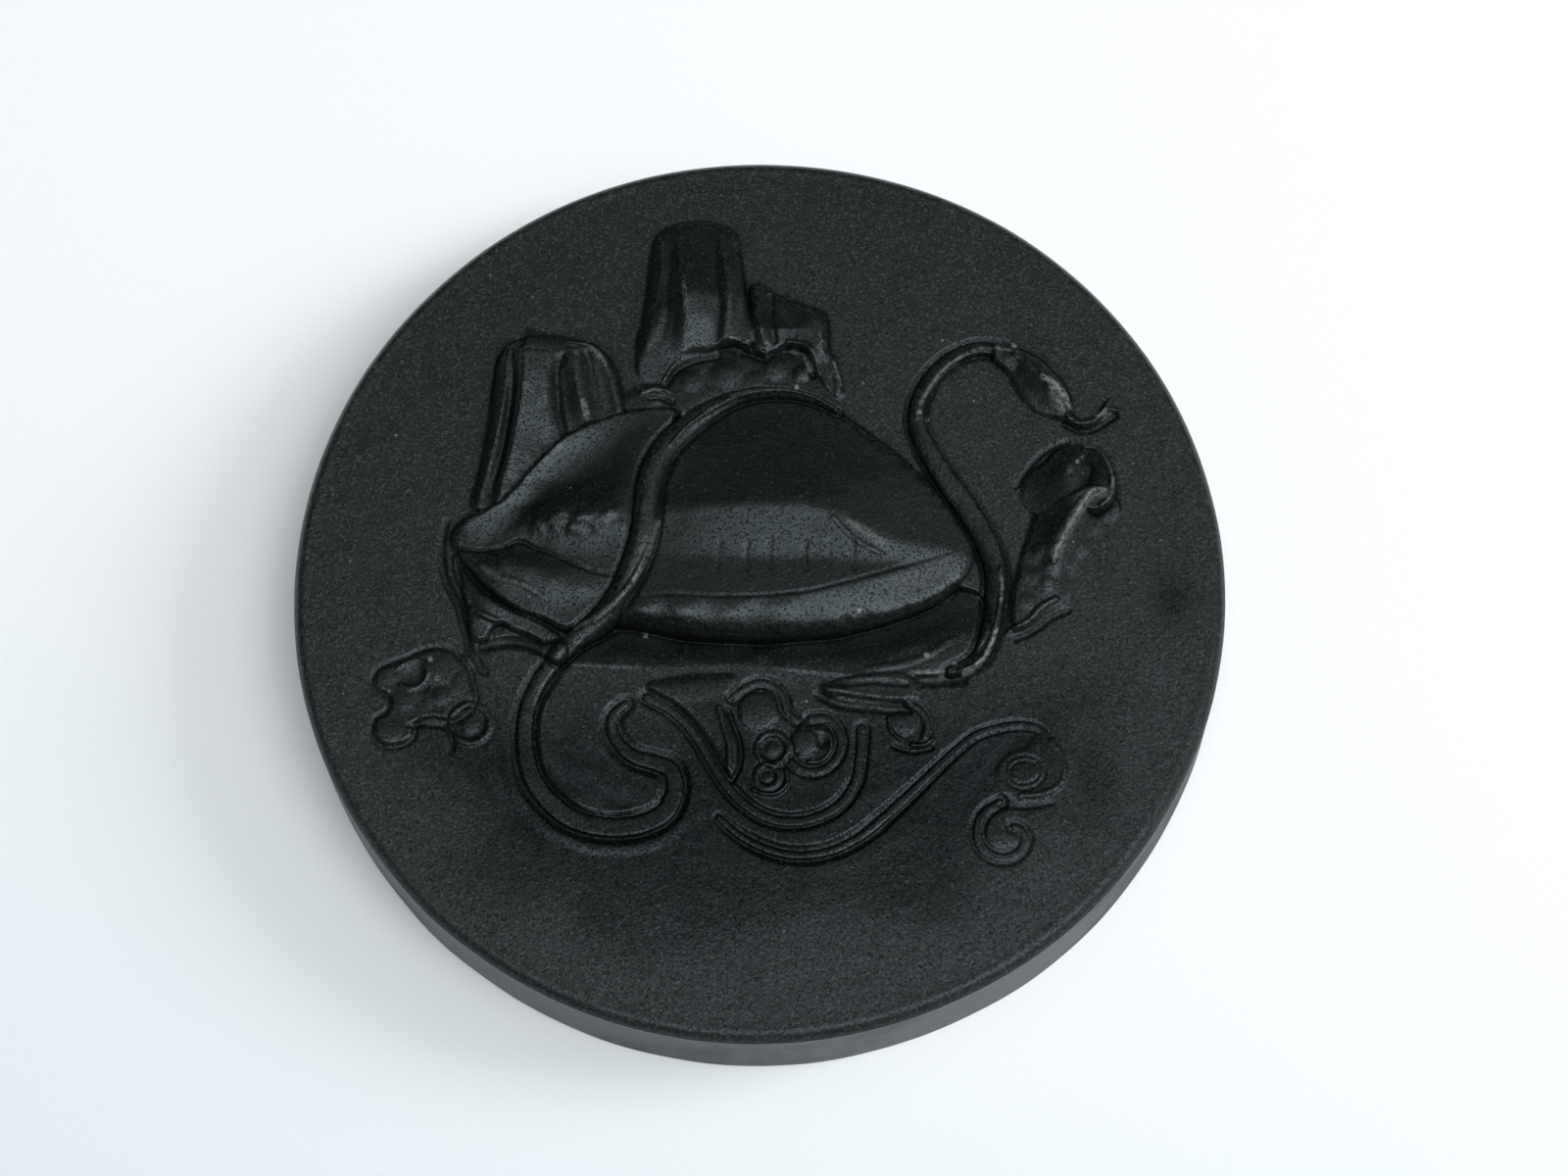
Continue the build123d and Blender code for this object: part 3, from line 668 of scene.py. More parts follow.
stroke(tail["line"], tail["width"], [0.95, 0.8, 0.66, 0.62, 0.58, 0.54, 0.5, 0.45, 0.4, 0.32], power=0.22)
tailLip = [(-26.0, -18.6), (-26.2, -21.0), (-25.3, -23.5), (-23.5, -25.8), (-21.0, -27.8), (-18.0, -29.1),
           (-15.0, -29.5),
           (-12.0, -29.2), (-9.8, -28.4), (-8.4, -27.0)]
stroke(tailLip, 1.5, [0.03, 0.08, 0.12, 0.12, 0.1, 0.04], lean=0.3)
stroke([(-22.3, -13.5), (-23.0, -16.0), (-22.9, -19.0), (-22.2, -21.4), (-20.2, -23.7), (-18.3, -25.0),
        (-16.0, -25.7),
        (-13.6, -25.5)], 0.9, 0.1)
claim("snakeTail", line=tail["line"], width=[w + 0.6 for w in tail["width"]])

neck = {
    "line": [
        (19.6, -11.8), (21.3, -11.2), (22.7, -10.2), (23.7, -8.2), (24.4, -5.6), (24.8, -3.0),
        (24.9, -0.9), (24.5, 1.2),
        (23.6, 3.6), (22.2, 6.4), (20.4, 9.4), (19.0, 12.0), (17.9, 14.4), (17.4, 16.6), (17.6, 18.4),
        (18.5, 20.6),
        (20.2, 22.8), (22.4, 24.3), (24.8, 24.9), (27.0, 24.5),
    ],
    "width": [1.0, 1.7, 2.0, 2.2, 2.4, 2.5, 2.3, 2.0, 1.7, 1.5, 1.5, 1.6],
}
stroke(neck["line"], [w + 1.4 for w in neck["width"]],
       [-0.2, -0.42, -0.5, -0.5, -0.5, -0.45, -0.4, -0.36, -0.3, -0.28], lean=0.5, power=0.9)
stroke(neck["line"], neck["width"], [0.7, 0.95, 1.0, 1.0, 0.95, 0.9, 0.8, 0.72, 0.68, 0.66], lean=-0.35,
       power=0.3)
stroke([(20.4, -11.9), (22.4, -11.0), (23.5, -9.6), (24.3, -7.4), (25.0, -5.0), (25.5, -2.6),
        (25.4, -0.6)], 0.6, 0.12)
claim("snakeNeck", line=neck["line"], width=[w + 0.3 for w in neck["width"]])

snakeHead = {
    "outline": [
        (26.0, 25.3), (28.5, 24.8), (30.0, 24.2), (31.3, 23.3), (32.2, 22.2), (33.0, 21.2), (33.8, 20.0),
        (34.2, 18.6),
        (34.2, 17.2), (33.6, 16.1), (32.0, 16.2), (30.0, 17.2), (28.5, 19.2), (27.5, 21.6), (25.9, 23.6),
    ],
    "shoulder": 0.5,
    "skin": [
        (26.4, 24.8, 0.9), (28.4, 24.6, 0.75), (30, 24, 0.7), (31.3, 23, 0.75), (32.9, 21, 0.8),
        (33.9, 19, 0.75),
        (34.0, 17.4, 0.6), (28.3, 23.6, 1.2), (29.5, 22.3, 1.4), (30.8, 20.9, 1.55), (31.7, 19.6, 1.55),
        (32.6, 18.2, 1.25),
        (33.3, 17, 0.8), (26.4, 23.8, 0.8), (27.7, 21.8, 0.5), (28.8, 19.5, 0.4), (30.2, 17.5, 0.35),
        (32, 16.5, 0.4),
        (29.6, 20.6, 0.95), (31, 18.8, 1.0), (28.6, 22.4, 0.9),
    ],
}
form(snakeHead)
stroke([(28.3, 23.8), (29.5, 22.4), (30.8, 20.9), (31.7, 19.4)], 0.8, 0.12)
spot(32.2, 20.2, 1.0, 0.18)
spot(33.2, 19.0, 0.7, 0.12)
claim("snakeHead", outline=snakeHead["outline"])

tongue = {"line": [(33.8, 16.4), (34.9, 15.7), (36.2, 15.9), (37.3, 16.8), (38.3, 18.2)],
          "width": [1.2, 1.0, 0.9, 0.7]}
stroke([(33.3, 15.7), (34.8, 14.9), (36.3, 15.0), (37.6, 15.7), (38.9, 16.6)], 0.9, -0.3)
stroke(tongue["line"], tongue["width"], 0.5)
stroke([(37.5, 17.0), (38.3, 17.3), (39.2, 17.1)], 0.6, 0.3)
claim("snakeTongue", line=tongue["line"], width=[w + 0.4 for w in tongue["width"]])
print("snake")

# tortoise neck and head

tortoiseNeck = {
    "outline": [
        (29.4, 5.5), (31.0, 6.6), (33.0, 7.4), (35.5, 8.2), (37.6, 7.6), (38.6, 5.6), (37.6, 4.2),
        (36.0, 2.4), (34.4, 0.2),
        (33.4, -2.6), (32.2, -4.6), (30.0, -5.8), (28.4, -7.0), (26.4, -7.6), (26.2, -5.0), (27.0, -1.0),
        (28.2, 2.6),
    ],
    "shoulder": 0.7,
    "skin": [
        (36.8, 7.4, 2.0), (35.5, 6.8, 1.95), (34.2, 5.4, 1.85), (33, 3.8, 1.7), (32, 2.2, 1.5),
        (31.2, 0.8, 1.25),
        (30.8, -0.6, 0.95), (30.6, -3, 0.6), (38.2, 5.8, 0.4), (36.3, 4.5, 0.12), (34.8, 2.4, 0.1),
        (33.7, 0.3, 0.08), (32.7, -1.6, 0.08), (37.6, 3.9, 0.04), (35.6, 1, 0.04), (34.2, -2, 0.04),
        (32, -4.4, 0.15), (29, -6.4, 0.35), (26.6, -7.2, 0.4), (32.2, 5.6, 1.35), (31.2, 4, 1.15),
        (30.2, 2.2, 0.9),
        (29.4, 5.4, 0.3), (28.6, 2.6, 0.35), (27.4, -1, 0.35), (26.6, -4.6, 0.4), (28.6, -3.4, 0.5),
        (29.6, -0.4, 0.6),
    ],
}
form(tortoiseNeck)
stroke([(36.8, 7.5), (35.5, 7.0), (34.0, 5.5), (33.0, 4.0), (32.0, 2.3), (31.1, 0.8), (30.9, -0.2)],
       [1.3, 1.4, 1.3, 1.0], 0.18)
stroke([(26.0, -7.5), (28.0, -6.5), (29.5, -5.0), (31.0, -4.2)], 0.9, 0.22)
stroke([(26.6, -8.4), (28.6, -7.5), (30.4, -6.2), (32.2, -5.4)], 0.9, -0.25)
for x, y, r, h in [(28.4, -1.5, 1.2, 0.12), (29.4, 1.2, 0.9, 0.1), (27.9, -4.4, 1.0, 0.12),
                   (30.2, -2.4, 0.9, 0.1)]:
    spot(x, y, r, h)
claim("tortoiseNeck", outline=tortoiseNeck["outline"])

tortoiseHead = {
    "outline": [
        (28.2, 8.8), (29.0, 10.2), (30.6, 11.2), (31.8, 12.4), (33.0, 13.0), (34.6, 13.1), (36.3, 12.6),
        (37.4, 11.2),
        (38.0, 9.4), (38.2, 7.6), (37.8, 6.2), (36.8, 5.2), (35.4, 4.8), (33.4, 5.6), (32.0, 5.8),
        (30.2, 5.2),
        (28.6, 5.8), (27.9, 7.2),
    ],
    "shoulder": 0.5,
    "skin": [
        (28.2, 7.6, 0.15), (28.8, 9.6, 0.2), (29.2, 6.0, 0.3), (30.0, 8.2, 0.6), (30.8, 6.4, 0.8),
        (31.0, 10.4, 0.7),
        (31.6, 8.6, 1.15), (32.2, 6.6, 1.3), (32.0, 11.8, 0.9), (33.4, 12.6, 0.9), (32.8, 9.9, 1.5),
        (33.5, 10.5, 1.55),
        (33.9, 9.0, 1.6), (34.6, 11.0, 1.3), (35.2, 9.2, 1.35), (35.0, 12.1, 1.3), (36.2, 11.6, 1.8),
        (36.9, 10.2, 2.05),
        (37.2, 8.8, 2.1), (37.3, 7.4, 2.05), (36.8, 6.2, 2.0), (36.0, 7.2, 1.95), (35.0, 6.4, 1.9),
        (34.2, 5.6, 1.8),
        (36.0, 9.2, 1.65), (33.4, 7.4, 1.6),
    ],
}
form(tortoiseHead)
stroke([(35.0, 12.2), (36.2, 11.8), (37.0, 10.4), (37.4, 9.0), (37.5, 7.6), (37.1, 6.4), (36.2, 5.6)],
       0.6, 0.14)
spot(33.0, 10.1, 0.9, 0.15)
stroke([(34.9, 11.0), (35.4, 9.6), (35.0, 8.2)], 1.1, -0.2)
stroke([(27.6, 8.6), (29.2, 10.9), (31.4, 12.9), (33.4, 13.7)], 0.8, -0.16)
claim("tortoiseHead", outline=tortoiseHead["outline"])
print("tortoise head")

# clouds

cloudLeft = {
    "outline": [
        (-40.2, -10.6), (-39.5, -9.6), (-38.0, -9.0), (-36.8, -8.6), (-35.8, -8.1), (-34.5, -7.7),
        (-33.0, -7.7),
        (-31.8, -8.2), (-31.0, -9.0), (-30.2, -10.3), (-29.9, -11.5), (-29.5, -13.2), (-30.2, -14.6),
        (-32.0, -15.6),
        (-34.0, -15.3), (-35.6, -15.8), (-35.9, -17.2), (-37.8, -18.1), (-39.2, -17.8), (-40.1, -16.6),
        (-39.8, -15.1),
        (-38.6, -14.2), (-38.6, -12.8), (-39.8, -12.0),
    ],
    "rise": 0.24, "shoulder": 0.6, "roundness": 2.6,
}
form(cloudLeft)
for x, y, r, h in [(-33.4, -10.1, 1.8, 0.28), (-33.0, -12.9, 1.1, 0.25), (-36.0, -10.6, 1.2, -0.32),
                   (-38.4, -10.4, 1.1, 0.14),
                   (-36.6, -12.9, 1.4, 0.18), (-38.2, -16.4, 1.3, 0.16), (-33.6, -14.2, 1.0, -0.12),
                   (-31.2, -11.6, 1.1, 0.14),
                   (-35.0, -12.0, 0.8, -0.16), (-31.4, -13.4, 0.9, -0.15), (-30.3, -9.0, 1.0, 0.25),
                   (-36.4, -14.8, 1.0, -0.12)]:
    spot(x, y, r, 0.5 * h, power=1.0)
stroke(cloudLeft["outline"], 1.0, -0.13, closed=True)
stroke([(-37.6, -9.7), (-36.8, -9.2), (-35.4, -9.0), (-34.6, -9.9), (-34.8, -11.2), (-36.0, -12.0),
        (-37.3, -11.6)], 0.6, 0.14)
stroke([(-36.4, -15.9), (-34.2, -15.9), (-32.4, -16.3), (-31.8, -17.6), (-31.9, -18.8)], 0.8,
       [-0.12, -0.22, -0.22, -0.12])
claim("cloudLeft", outline=cloudLeft["outline"])

ringLeft = {"x": -30.0, "y": -15.9, "radius": 2.0}
ringLine = [(ringLeft["x"] + ringLeft["radius"] * math.cos(a),
             ringLeft["y"] + ringLeft["radius"] * math.sin(a))
            for a in np.linspace(0, 2 * math.pi, 13)[:-1]]
spot(ringLeft["x"], ringLeft["y"], 3.0, -0.1, power=0.8)
stroke(ringLine, 0.8, 0.2, power=0.6, closed=True)
spot(ringLeft["x"], ringLeft["y"], 1.2, 0.16)
claim("cloudLeftRing", outline=[((x - ringLeft["x"]) * 1.25 + ringLeft["x"],
                                 (y - ringLeft["y"]) * 1.25 + ringLeft["y"])
                                for x, y in ringLine])

leaf = {
    "outline": [
        (-12.0, -12.3), (-9.0, -11.4), (-6.0, -11.2), (-2.2, -11.8), (-2.6, -13.6), (-3.3, -14.9),
        (-2.7, -17.0), (-2.2, -19.2),
        (-2.4, -21.2), (-3.3, -22.4), (-4.3, -21.2), (-5.4, -19.0), (-6.9, -16.8), (-8.6, -15.1),
        (-10.6, -13.9),
    ],
    "rise": 0.3, "shoulder": 1.3,
}
form(leaf)
stroke([(-3.5, -15.2), (-2.9, -17.0), (-2.3, -19.0), (-2.4, -21.0), (-3.1, -22.6)], 0.7, -0.26)
stroke([(-4.4, -15.0), (-3.9, -17.2), (-3.4, -19.4), (-3.6, -21.4)], 0.8, 0.14)
spot(-6.5, -12.8, 1.6, 0.14, squash=2.2)
claim("cloudLeaf", outline=leaf["outline"])

pendant = {
    "line": [
        (10.2, -17.6), (9.9, -20.6), (9.3, -23.2), (7.6, -25.5), (5.0, -26.8), (2.5, -27.1), (0.3, -26.6),
        (-1.8, -25.3),
        (-3.6, -23.4), (-5.1, -21.0), (-6.4, -18.6), (-7.8, -16.6), (-9.6, -14.9), (-11.8, -13.6),
    ],
    "width": [1.0, 0.95, 1.0, 1.0, 1.0, 0.95, 0.9],
}
stroke(pendant["line"], 2.1, [-0.2, -0.34, -0.38, -0.38, -0.38, -0.34, -0.28], power=0.9)
stroke(pendant["line"], pendant["width"], [0.24, 0.3, 0.32, 0.32, 0.32, 0.3, 0.26], power=0.3)
claim("cloudPendant", line=pendant["line"], width=1.7)

curls = {
    "arc": [(-3.0, -13.9), (-1.6, -12.8), (0.0, -12.3), (1.4, -12.8), (2.2, -14.0), (2.5, -15.3),
            (3.5, -16.4)],
    "big": [(5.0, -16.3), (6.5, -16.3), (7.6, -17.3), (8.0, -18.8), (7.7, -20.2), (6.8, -21.3),
            (5.2, -21.9), (3.6, -21.5),
            (2.9, -20.8)],
    "spiral": [(5.6, -17.6), (6.7, -17.9), (7.1, -18.9), (6.8, -20.0), (5.9, -20.9), (4.6, -20.9)],
    "rings": [(1.0, -19.4, 1.6), (0.4, -22.3, 1.15)],
    "tailStroke": [(2.3, -21.7), (2.4, -23.0), (1.5, -24.0), (0.0, -24.1), (-1.0, -23.7)],
}
spot(2.6, -18.6, 7.2, -0.1, power=0.7)
spot(-0.4, -15.4, 2.1, 0.3, power=0.5)
stroke(curls["arc"], 1.8, -0.3)
stroke(curls["arc"], 0.8, 0.24, power=0.6)
spot(4.3, -18.8, 1.5, 0.28, power=0.5)
spot(6.1, -18.9, 0.7, -0.25)
stroke(curls["big"], 1.9, -0.3)
stroke(curls["big"], 0.9, 0.26, power=0.5)
stroke(curls["spiral"], 0.6, 0.12)
for x, y, r in curls["rings"]:
    circle = [(x + r * math.cos(a), y + r * math.sin(a)) for a in np.linspace(0, 2 * math.pi, 11)[:-1]]
    spot(x, y, r + 0.7, -0.14, power=0.8)
    stroke(circle, 0.75, 0.2, power=0.6, closed=True)
    spot(x, y, r * 0.6, 0.16)
stroke(curls["tailStroke"], 0.6, 0.25)
claim("cloudCurls", outline=[
    (-3.0, -13.4), (-1.2, -12.2), (0.4, -11.8), (2.0, -12.6), (3.0, -14.6), (4.6, -15.8), (6.8, -15.8),
    (8.3, -17.4),
    (8.6, -19.2), (8.0, -21.0), (6.4, -22.2), (4.4, -22.6), (2.8, -23.2), (1.6, -24.4), (-0.6, -24.3),
    (-1.2, -22.8),
    (-0.9, -21.0), (-1.2, -19.0), (-2.2, -17.0), (-2.8, -15.2),
])

footCurl = {
    "arc": [(15.0, -15.0), (16.2, -15.8), (16.9, -17.2), (16.6, -18.6)],
    "crescents": [[(13.0, -16.6), (13.2, -17.8), (14.1, -18.8)],
                  [(15.3, -19.4), (16.4, -19.5), (17.4, -18.9)]],
}
spot(15.0, -17.3, 3.0, -0.18, power=0.8)
spot(14.6, -17.0, 1.4, 0.24, power=0.5)
stroke(footCurl["arc"], 0.8, 0.22, power=0.5)
for line in footCurl["crescents"]:
    stroke(line, 0.6, 0.3)
stroke([(13.4, -19.5), (15.2, -20.1), (17.2, -19.8)], 0.8, -0.22)
claim("curlFoot", outline=[(13.0, -15.0), (15.4, -14.9), (17.2, -16.4), (17.6, -18.8), (16.4, -19.9),
                           (14.0, -19.4), (12.7, -17.6)])

streamer = {
    "line": [
        (-4.6, -26.5), (-3.0, -28.0), (-1.0, -29.3), (1.5, -30.3), (4.0, -30.6), (7.0, -30.1),
        (10.0, -28.6), (12.5, -26.6),
        (15.0, -24.4), (17.5, -22.1), (20.0, -19.9), (22.0, -18.5), (24.0, -17.9), (26.0, -17.6),
        (28.0, -17.9), (29.0, -18.7),
        (29.6, -19.7),
    ],
}
stroke(streamer["line"], [1.5, 2.1, 2.2, 2.3, 2.4, 2.1, 1.8, 1.6, 1.5, 1.3],
       [-0.18, -0.36, -0.4, -0.4, -0.38, -0.34, -0.28, -0.24, -0.2, -0.16], power=0.9)
stroke(streamer["line"], [0.7, 0.8, 0.85, 0.9, 1.0, 0.85, 0.8, 0.75, 0.7],
       [0.22, 0.34, 0.38, 0.38, 0.34, 0.28, 0.24, 0.2, 0.18], power=0.3)
spot(11.2, -27.7, 1.1, 0.12, squash=1.8, turn=40)
claim("cloudStreamer", line=streamer["line"], width=1.5)

scroll = {
    "body": [(28.0, -18.6), (29.8, -19.6), (30.8, -21.2), (30.9, -23.2), (30.1, -24.7), (28.5, -25.4),
             (26.3, -25.6),
             (24.2, -25.1), (23.4, -23.6), (23.8, -21.8), (25.0, -20.6), (26.6, -20.0)],
    "oval": [(24.9, -23.0), (25.1, -21.8), (26.5, -21.2), (27.9, -21.6), (28.4, -22.8), (27.6, -23.8),
             (26.2, -24.1), (25.2, -23.7)],
}
form({"outline": scroll["body"], "rise": 0.16, "shoulder": 1.2})
stroke(scroll["oval"], 1.1, -0.14, closed=True)
stroke(scroll["oval"], 0.55, 0.12, closed=True)
stroke([(29.6, -19.4), (30.6, -21.0), (30.7, -22.8), (29.9, -24.2), (28.4, -24.9), (26.0, -25.1)], 0.8,
       0.12)
stroke([(24.0, -26.0), (26.5, -26.2), (29.2, -25.9)], 0.8, -0.14)
claim("cloudScroll", outline=scroll["body"])

hook = {
    "line": [(23.9, -25.7), (22.3, -26.7), (21.5, -28.3), (21.6, -29.8), (22.6, -31.0), (24.2, -31.4),
             (25.6, -30.8),
             (26.2, -29.6), (25.9, -28.6), (25.2, -28.2)],
}
stroke(hook["line"], 2.0, -0.24, power=0.9)
stroke(hook["line"], [0.8, 1.0, 1.0, 0.9, 0.7], [0.2, 0.25, 0.25, 0.22, 0.18], power=0.4)
spot(23.8, -29.4, 1.2, 0.08)
claim("cloudHook", line=hook["line"], width=1.5)
print("clouds")

# the hand of the mould maker: uneven surfaces, soft edges
moulding = {"fineUneven": 0.006, "broadUneven": 0.012, "softEdge": 0.065, "fieldWaves": 0.03}
wholeRelief = blurred((np.abs(height) > 0.02).astype(float), 0.5)
height += wholeRelief * (moulding["fineUneven"] * softNoise(3,
                                                            0.5) + moulding["broadUneven"] * softNoise(4,
        1.5))
height = blurred(height, moulding["softEdge"])


def ground(x, y):
    # the field isn't dead flat: long shallow waves that fade at the edge
    fade = np.clip((46.0 - np.hypot(x, y)) / 8.0, 0, 1)
    waves = np.sin(x / 9.0 + 0.7) * np.cos(y / 11.0) + 0.6 * np.sin((x + y) / 6.5)
    waves += 0.4 * np.cos(x / 4.1 - y / 5.3)
    return moulding["fieldWaves"] * fade * waves


carved = np.abs(height) > 0.004
for turn in range(3):
    carved[1:-1, 1:-1] |= carved[:-2, 1:-1] | carved[2:, 1:-1] | carved[1:-1, :-2] | carved[1:-1, 2:]
carved[[0, -1], :] = carved[:, [0, -1]] = False
height = np.where(carved, height, 0)
surface = height + ground(gridX, gridY)

# masks that the finish reads
maskReach = {"fineCrest": 0.35, "broadCrest": 1.3, "hollow": 0.8, "soot": 0.45, "relief": 0.5}
fine = height - blurred(height, maskReach["fineCrest"])
broad = height - blurred(height, maskReach["broadCrest"])
crestMask = np.clip(fine * 9 + broad * 1.2, 0, 1)
# hollow also darkens the colour in recesses: painted shade, partly dirt
hollowMask = np.clip((blurred(height, maskReach["hollow"]) - height - 0.015) * 6, 0, 1)
# narrow grooves, made black through Metallic: painted shade, partly soot
sootAndShadeMask = np.clip((blurred(height, maskReach["soot"]) - height - 0.05) * 5, 0, 1)
reliefMask = np.clip(blurred((np.abs(height) > 0.12).astype(float), maskReach["relief"]) * 1.2, 0, 1)

# pale scuffs where the relief has been rubbed, and painted highlights where slopes facing the window glint
for line, width, amount in [
    ([(31.2, 20.7), (32.4, 19.8), (33.3, 18.8), (33.9, 17.6)], 0.9, 0.85),
    ([(21.0, -12.0), (22.5, -11.1), (23.4, -10.0), (24.1, -8.6), (24.5, -7.4)], 0.6, 0.9),
    ([(25.2, -4.4), (25.4, -2.8), (25.3, -1.2)], 0.4, 0.6),
    ([(17.5, 16.6), (17.7, 18.0), (18.8, 20.0), (20.3, 22.0), (21.7, 23.3), (23.3, 24.3), (25.0, 24.8),
      (27.8, 24.2)], 0.5, 0.45),
    ([(36.8, 16.6), (37.7, 17.0)], 0.7, 0.9),
    ([(-10.4, 5.0), (-11.4, 1.4), (-14.2, -3.0), (-17.0, -5.2), (-19.2, -6.2)], 0.6, 0.35),
    ([(5.5, 19.9), (1.5, 20.1), (-2.0, 19.5), (-5.0, 17.7)], 0.4, 0.4),
    ([(35.2, 12.6), (36.4, 12.2), (37.3, 10.6), (37.7, 8.4), (36.9, 6.2)], 0.5, 0.35),
    ([(15.6, -11.7), (17.4, -11.7), (19.4, -11.7)], 0.5, 0.5),
    ([(-18.4, 19.4), (-18.0, 17.8)], 0.8, 0.5),
    ([(-7.4, 33.0), (-7.2, 29.5)], 0.6, 0.3),
    ([(36.5, 7.0), (35.3, 6.6), (33.9, 5.2), (32.8, 3.6), (31.9, 2.0), (31.1, 0.6)], 1.4, 0.4),
    ([(-20.0, 26.6), (-18.2, 26.2), (-16.8, 25.0), (-15.9, 23.6)], 0.5, 0.45),
    ([(4.2, 25.3), (5.6, 24.4), (6.0, 22.8)], 0.6, 0.45),
    ([(8.7, 23.6), (9.4, 21.0)], 0.4, 0.5),
    ([(9.6, 4.2), (11.6, 3.0), (13.4, 1.5)], 0.9, 0.3),
    ([(15.0, -2.6), (17.4, -1.6), (19.8, -0.6)], 2.6, 0.14),
    ([(-28.8, 0.6), (-26.6, -0.8), (-23.4, -2.0)], 1.0, 0.2),
]:
    stroke(line, width, amount, layer=rubAndGlint, power=0.8)
for x, y, r in [(17.2, -9.9, 0.35), (20.1, -10.9, 0.3), (-34.2, -8.9, 0.35), (-33.5, -11.0, 0.3),
                (-36.0, -2.6, 0.25),
                (28.4, 25.2, 0.4), (34.2, 10.8, 0.35), (18.6, 16.8, 0.3), (17.7, 17.3, 0.35),
                (-7.6, 18.0, 0.3),
                (-12.0, -6.6, 0.3), (4.6, 20.9, 0.3), (-29.3, 7.2, 0.3), (10.4, -5.2, 0.25)]:
    spot(x, y, r, 1.0, power=0.5, layer=rubAndGlint)
rubAndGlint = np.clip(rubAndGlint, 0, 1)

# every carved cell belongs to the nearest motif
cells = carved[:-1, :-1] & carved[1:, :-1] & carved[:-1, 1:] & carved[1:, 1:]
cellOwner = np.where(cells, owner[:-1, :-1], -1)
for turn in range(400):
    missing = cells & (cellOwner < 0)
    if not missing.any():
        break
    grown = cellOwner.copy()
    for dr, dc in ((1, 0), (-1, 0), (0, 1), (0, -1)):
        moved = np.roll(cellOwner, (dr, dc), axis=(0, 1))
        grown = np.where(missing & (grown < 0) & (moved >= 0), moved, grown)
    cellOwner = grown
print("motifs", len(ownerNames), "carved cells", int(cells.sum()), "left over",
      int((cells & (cellOwner < 0)).sum()))

slopeY, slopeX = np.gradient(surface, carving["step"])
normals = np.dstack([-slopeX, -slopeY, np.ones_like(surface)])
normals /= np.linalg.norm(normals, axis=2, keepdims=True)
masks = {"crest": crestMask, "hollow": hollowMask, "soot": sootAndShadeMask, "relief": reliefMask, "rubAndGlint": rubAndGlint}


def borderOf(mask):
    # edges round a set of cells, each with the cells on its left
    pad = np.pad(mask, 1)
    inner = pad[1:-1, 1:-1]
    columns = mask.shape[1] + 1
    edges = []
    for free, a, b in (
        (inner & ~pad[:-2, 1:-1], (0, 0), (0, 1)),
        (inner & ~pad[1:-1, 2:], (0, 1), (1, 1)),
        (inner & ~pad[2:, 1:-1], (1, 1), (1, 0)),
        (inner & ~pad[1:-1, :-2], (1, 0), (0, 0)),
    ):
        r, c = np.nonzero(free)
        edges.append(np.column_stack([(r + a[0]) * columns + c + a[1], (r + b[0]) * columns + c + b[1]]))
    return np.vstack(edges)


def cellAt(mask, x, y):
    c = np.floor((x - xs[0]) / carving["step"]).astype(int)
    r = np.floor((y - ys[0]) / carving["step"]).astype(int)
    ok = (c >= 0) & (r >= 0) & (c < mask.shape[1]) & (r < mask.shape[0])
    return ok & mask[np.clip(r, 0, mask.shape[0] - 1), np.clip(c, 0, mask.shape[1] - 1)]


def triangulate(points, edges, keep):
    # triangles between fixed edges, kept where keep says so of their middles
    result = delaunay_2d_cdt([Vector(p) for p in points], [tuple(map(int, e)) for e in edges], [], 0,
                             1e-6)
    source = [o[0] if o else -1 for o in result[3]]
    faces = np.array([[source[v] for v in face] for face in result[2] if len(face) == 3])
    faces = faces[(faces >= 0).all(axis=1)]
    corners = points[faces]
    turn = np.cross(corners[:, 1] - corners[:, 0], corners[:, 2] - corners[:, 0])
    faces = np.where(turn[:, None] < 0, faces[:, ::-1], faces)
    middle = corners.mean(axis=1)
    return faces[keep(middle[:, 0], middle[:, 1]) & (np.abs(turn) > 1e-9)]


flatX, flatY, flatZ = gridX.ravel(), gridY.ravel(), surface.ravel() + cake["thickness"]
flatNormals = normals.reshape(-1, 3)


def makeMesh(name, vertices, faces, loopNormals, values, material):
    mesh = bpy.data.meshes.new(name)
    mesh.from_pydata((vertices * mm).tolist(), [], [f.tolist() for block in faces for f in block])
    mesh.polygons.foreach_set("use_smooth", [True] * len(mesh.polygons))
    for key, value in values.items():
        layer = mesh.attributes.new(key, "FLOAT", "POINT")
        layer.data.foreach_set("value", np.ascontiguousarray(value, dtype=np.float32))
    mesh.update()
    mesh.normals_split_custom_set(loopNormals.tolist())
    thing = bpy.data.objects.new(name, mesh)
    bpy.context.scene.collection.objects.link(thing)
    mesh.materials.append(material)
    return thing


def faceNormals(vertices, faces):
    a, b, c = vertices[faces[:, 0]], vertices[faces[:, 1]], vertices[faces[:, 2]]
    n = np.cross(b - a, c - a)
    return n / np.maximum(np.linalg.norm(n, axis=1, keepdims=True), 1e-12)


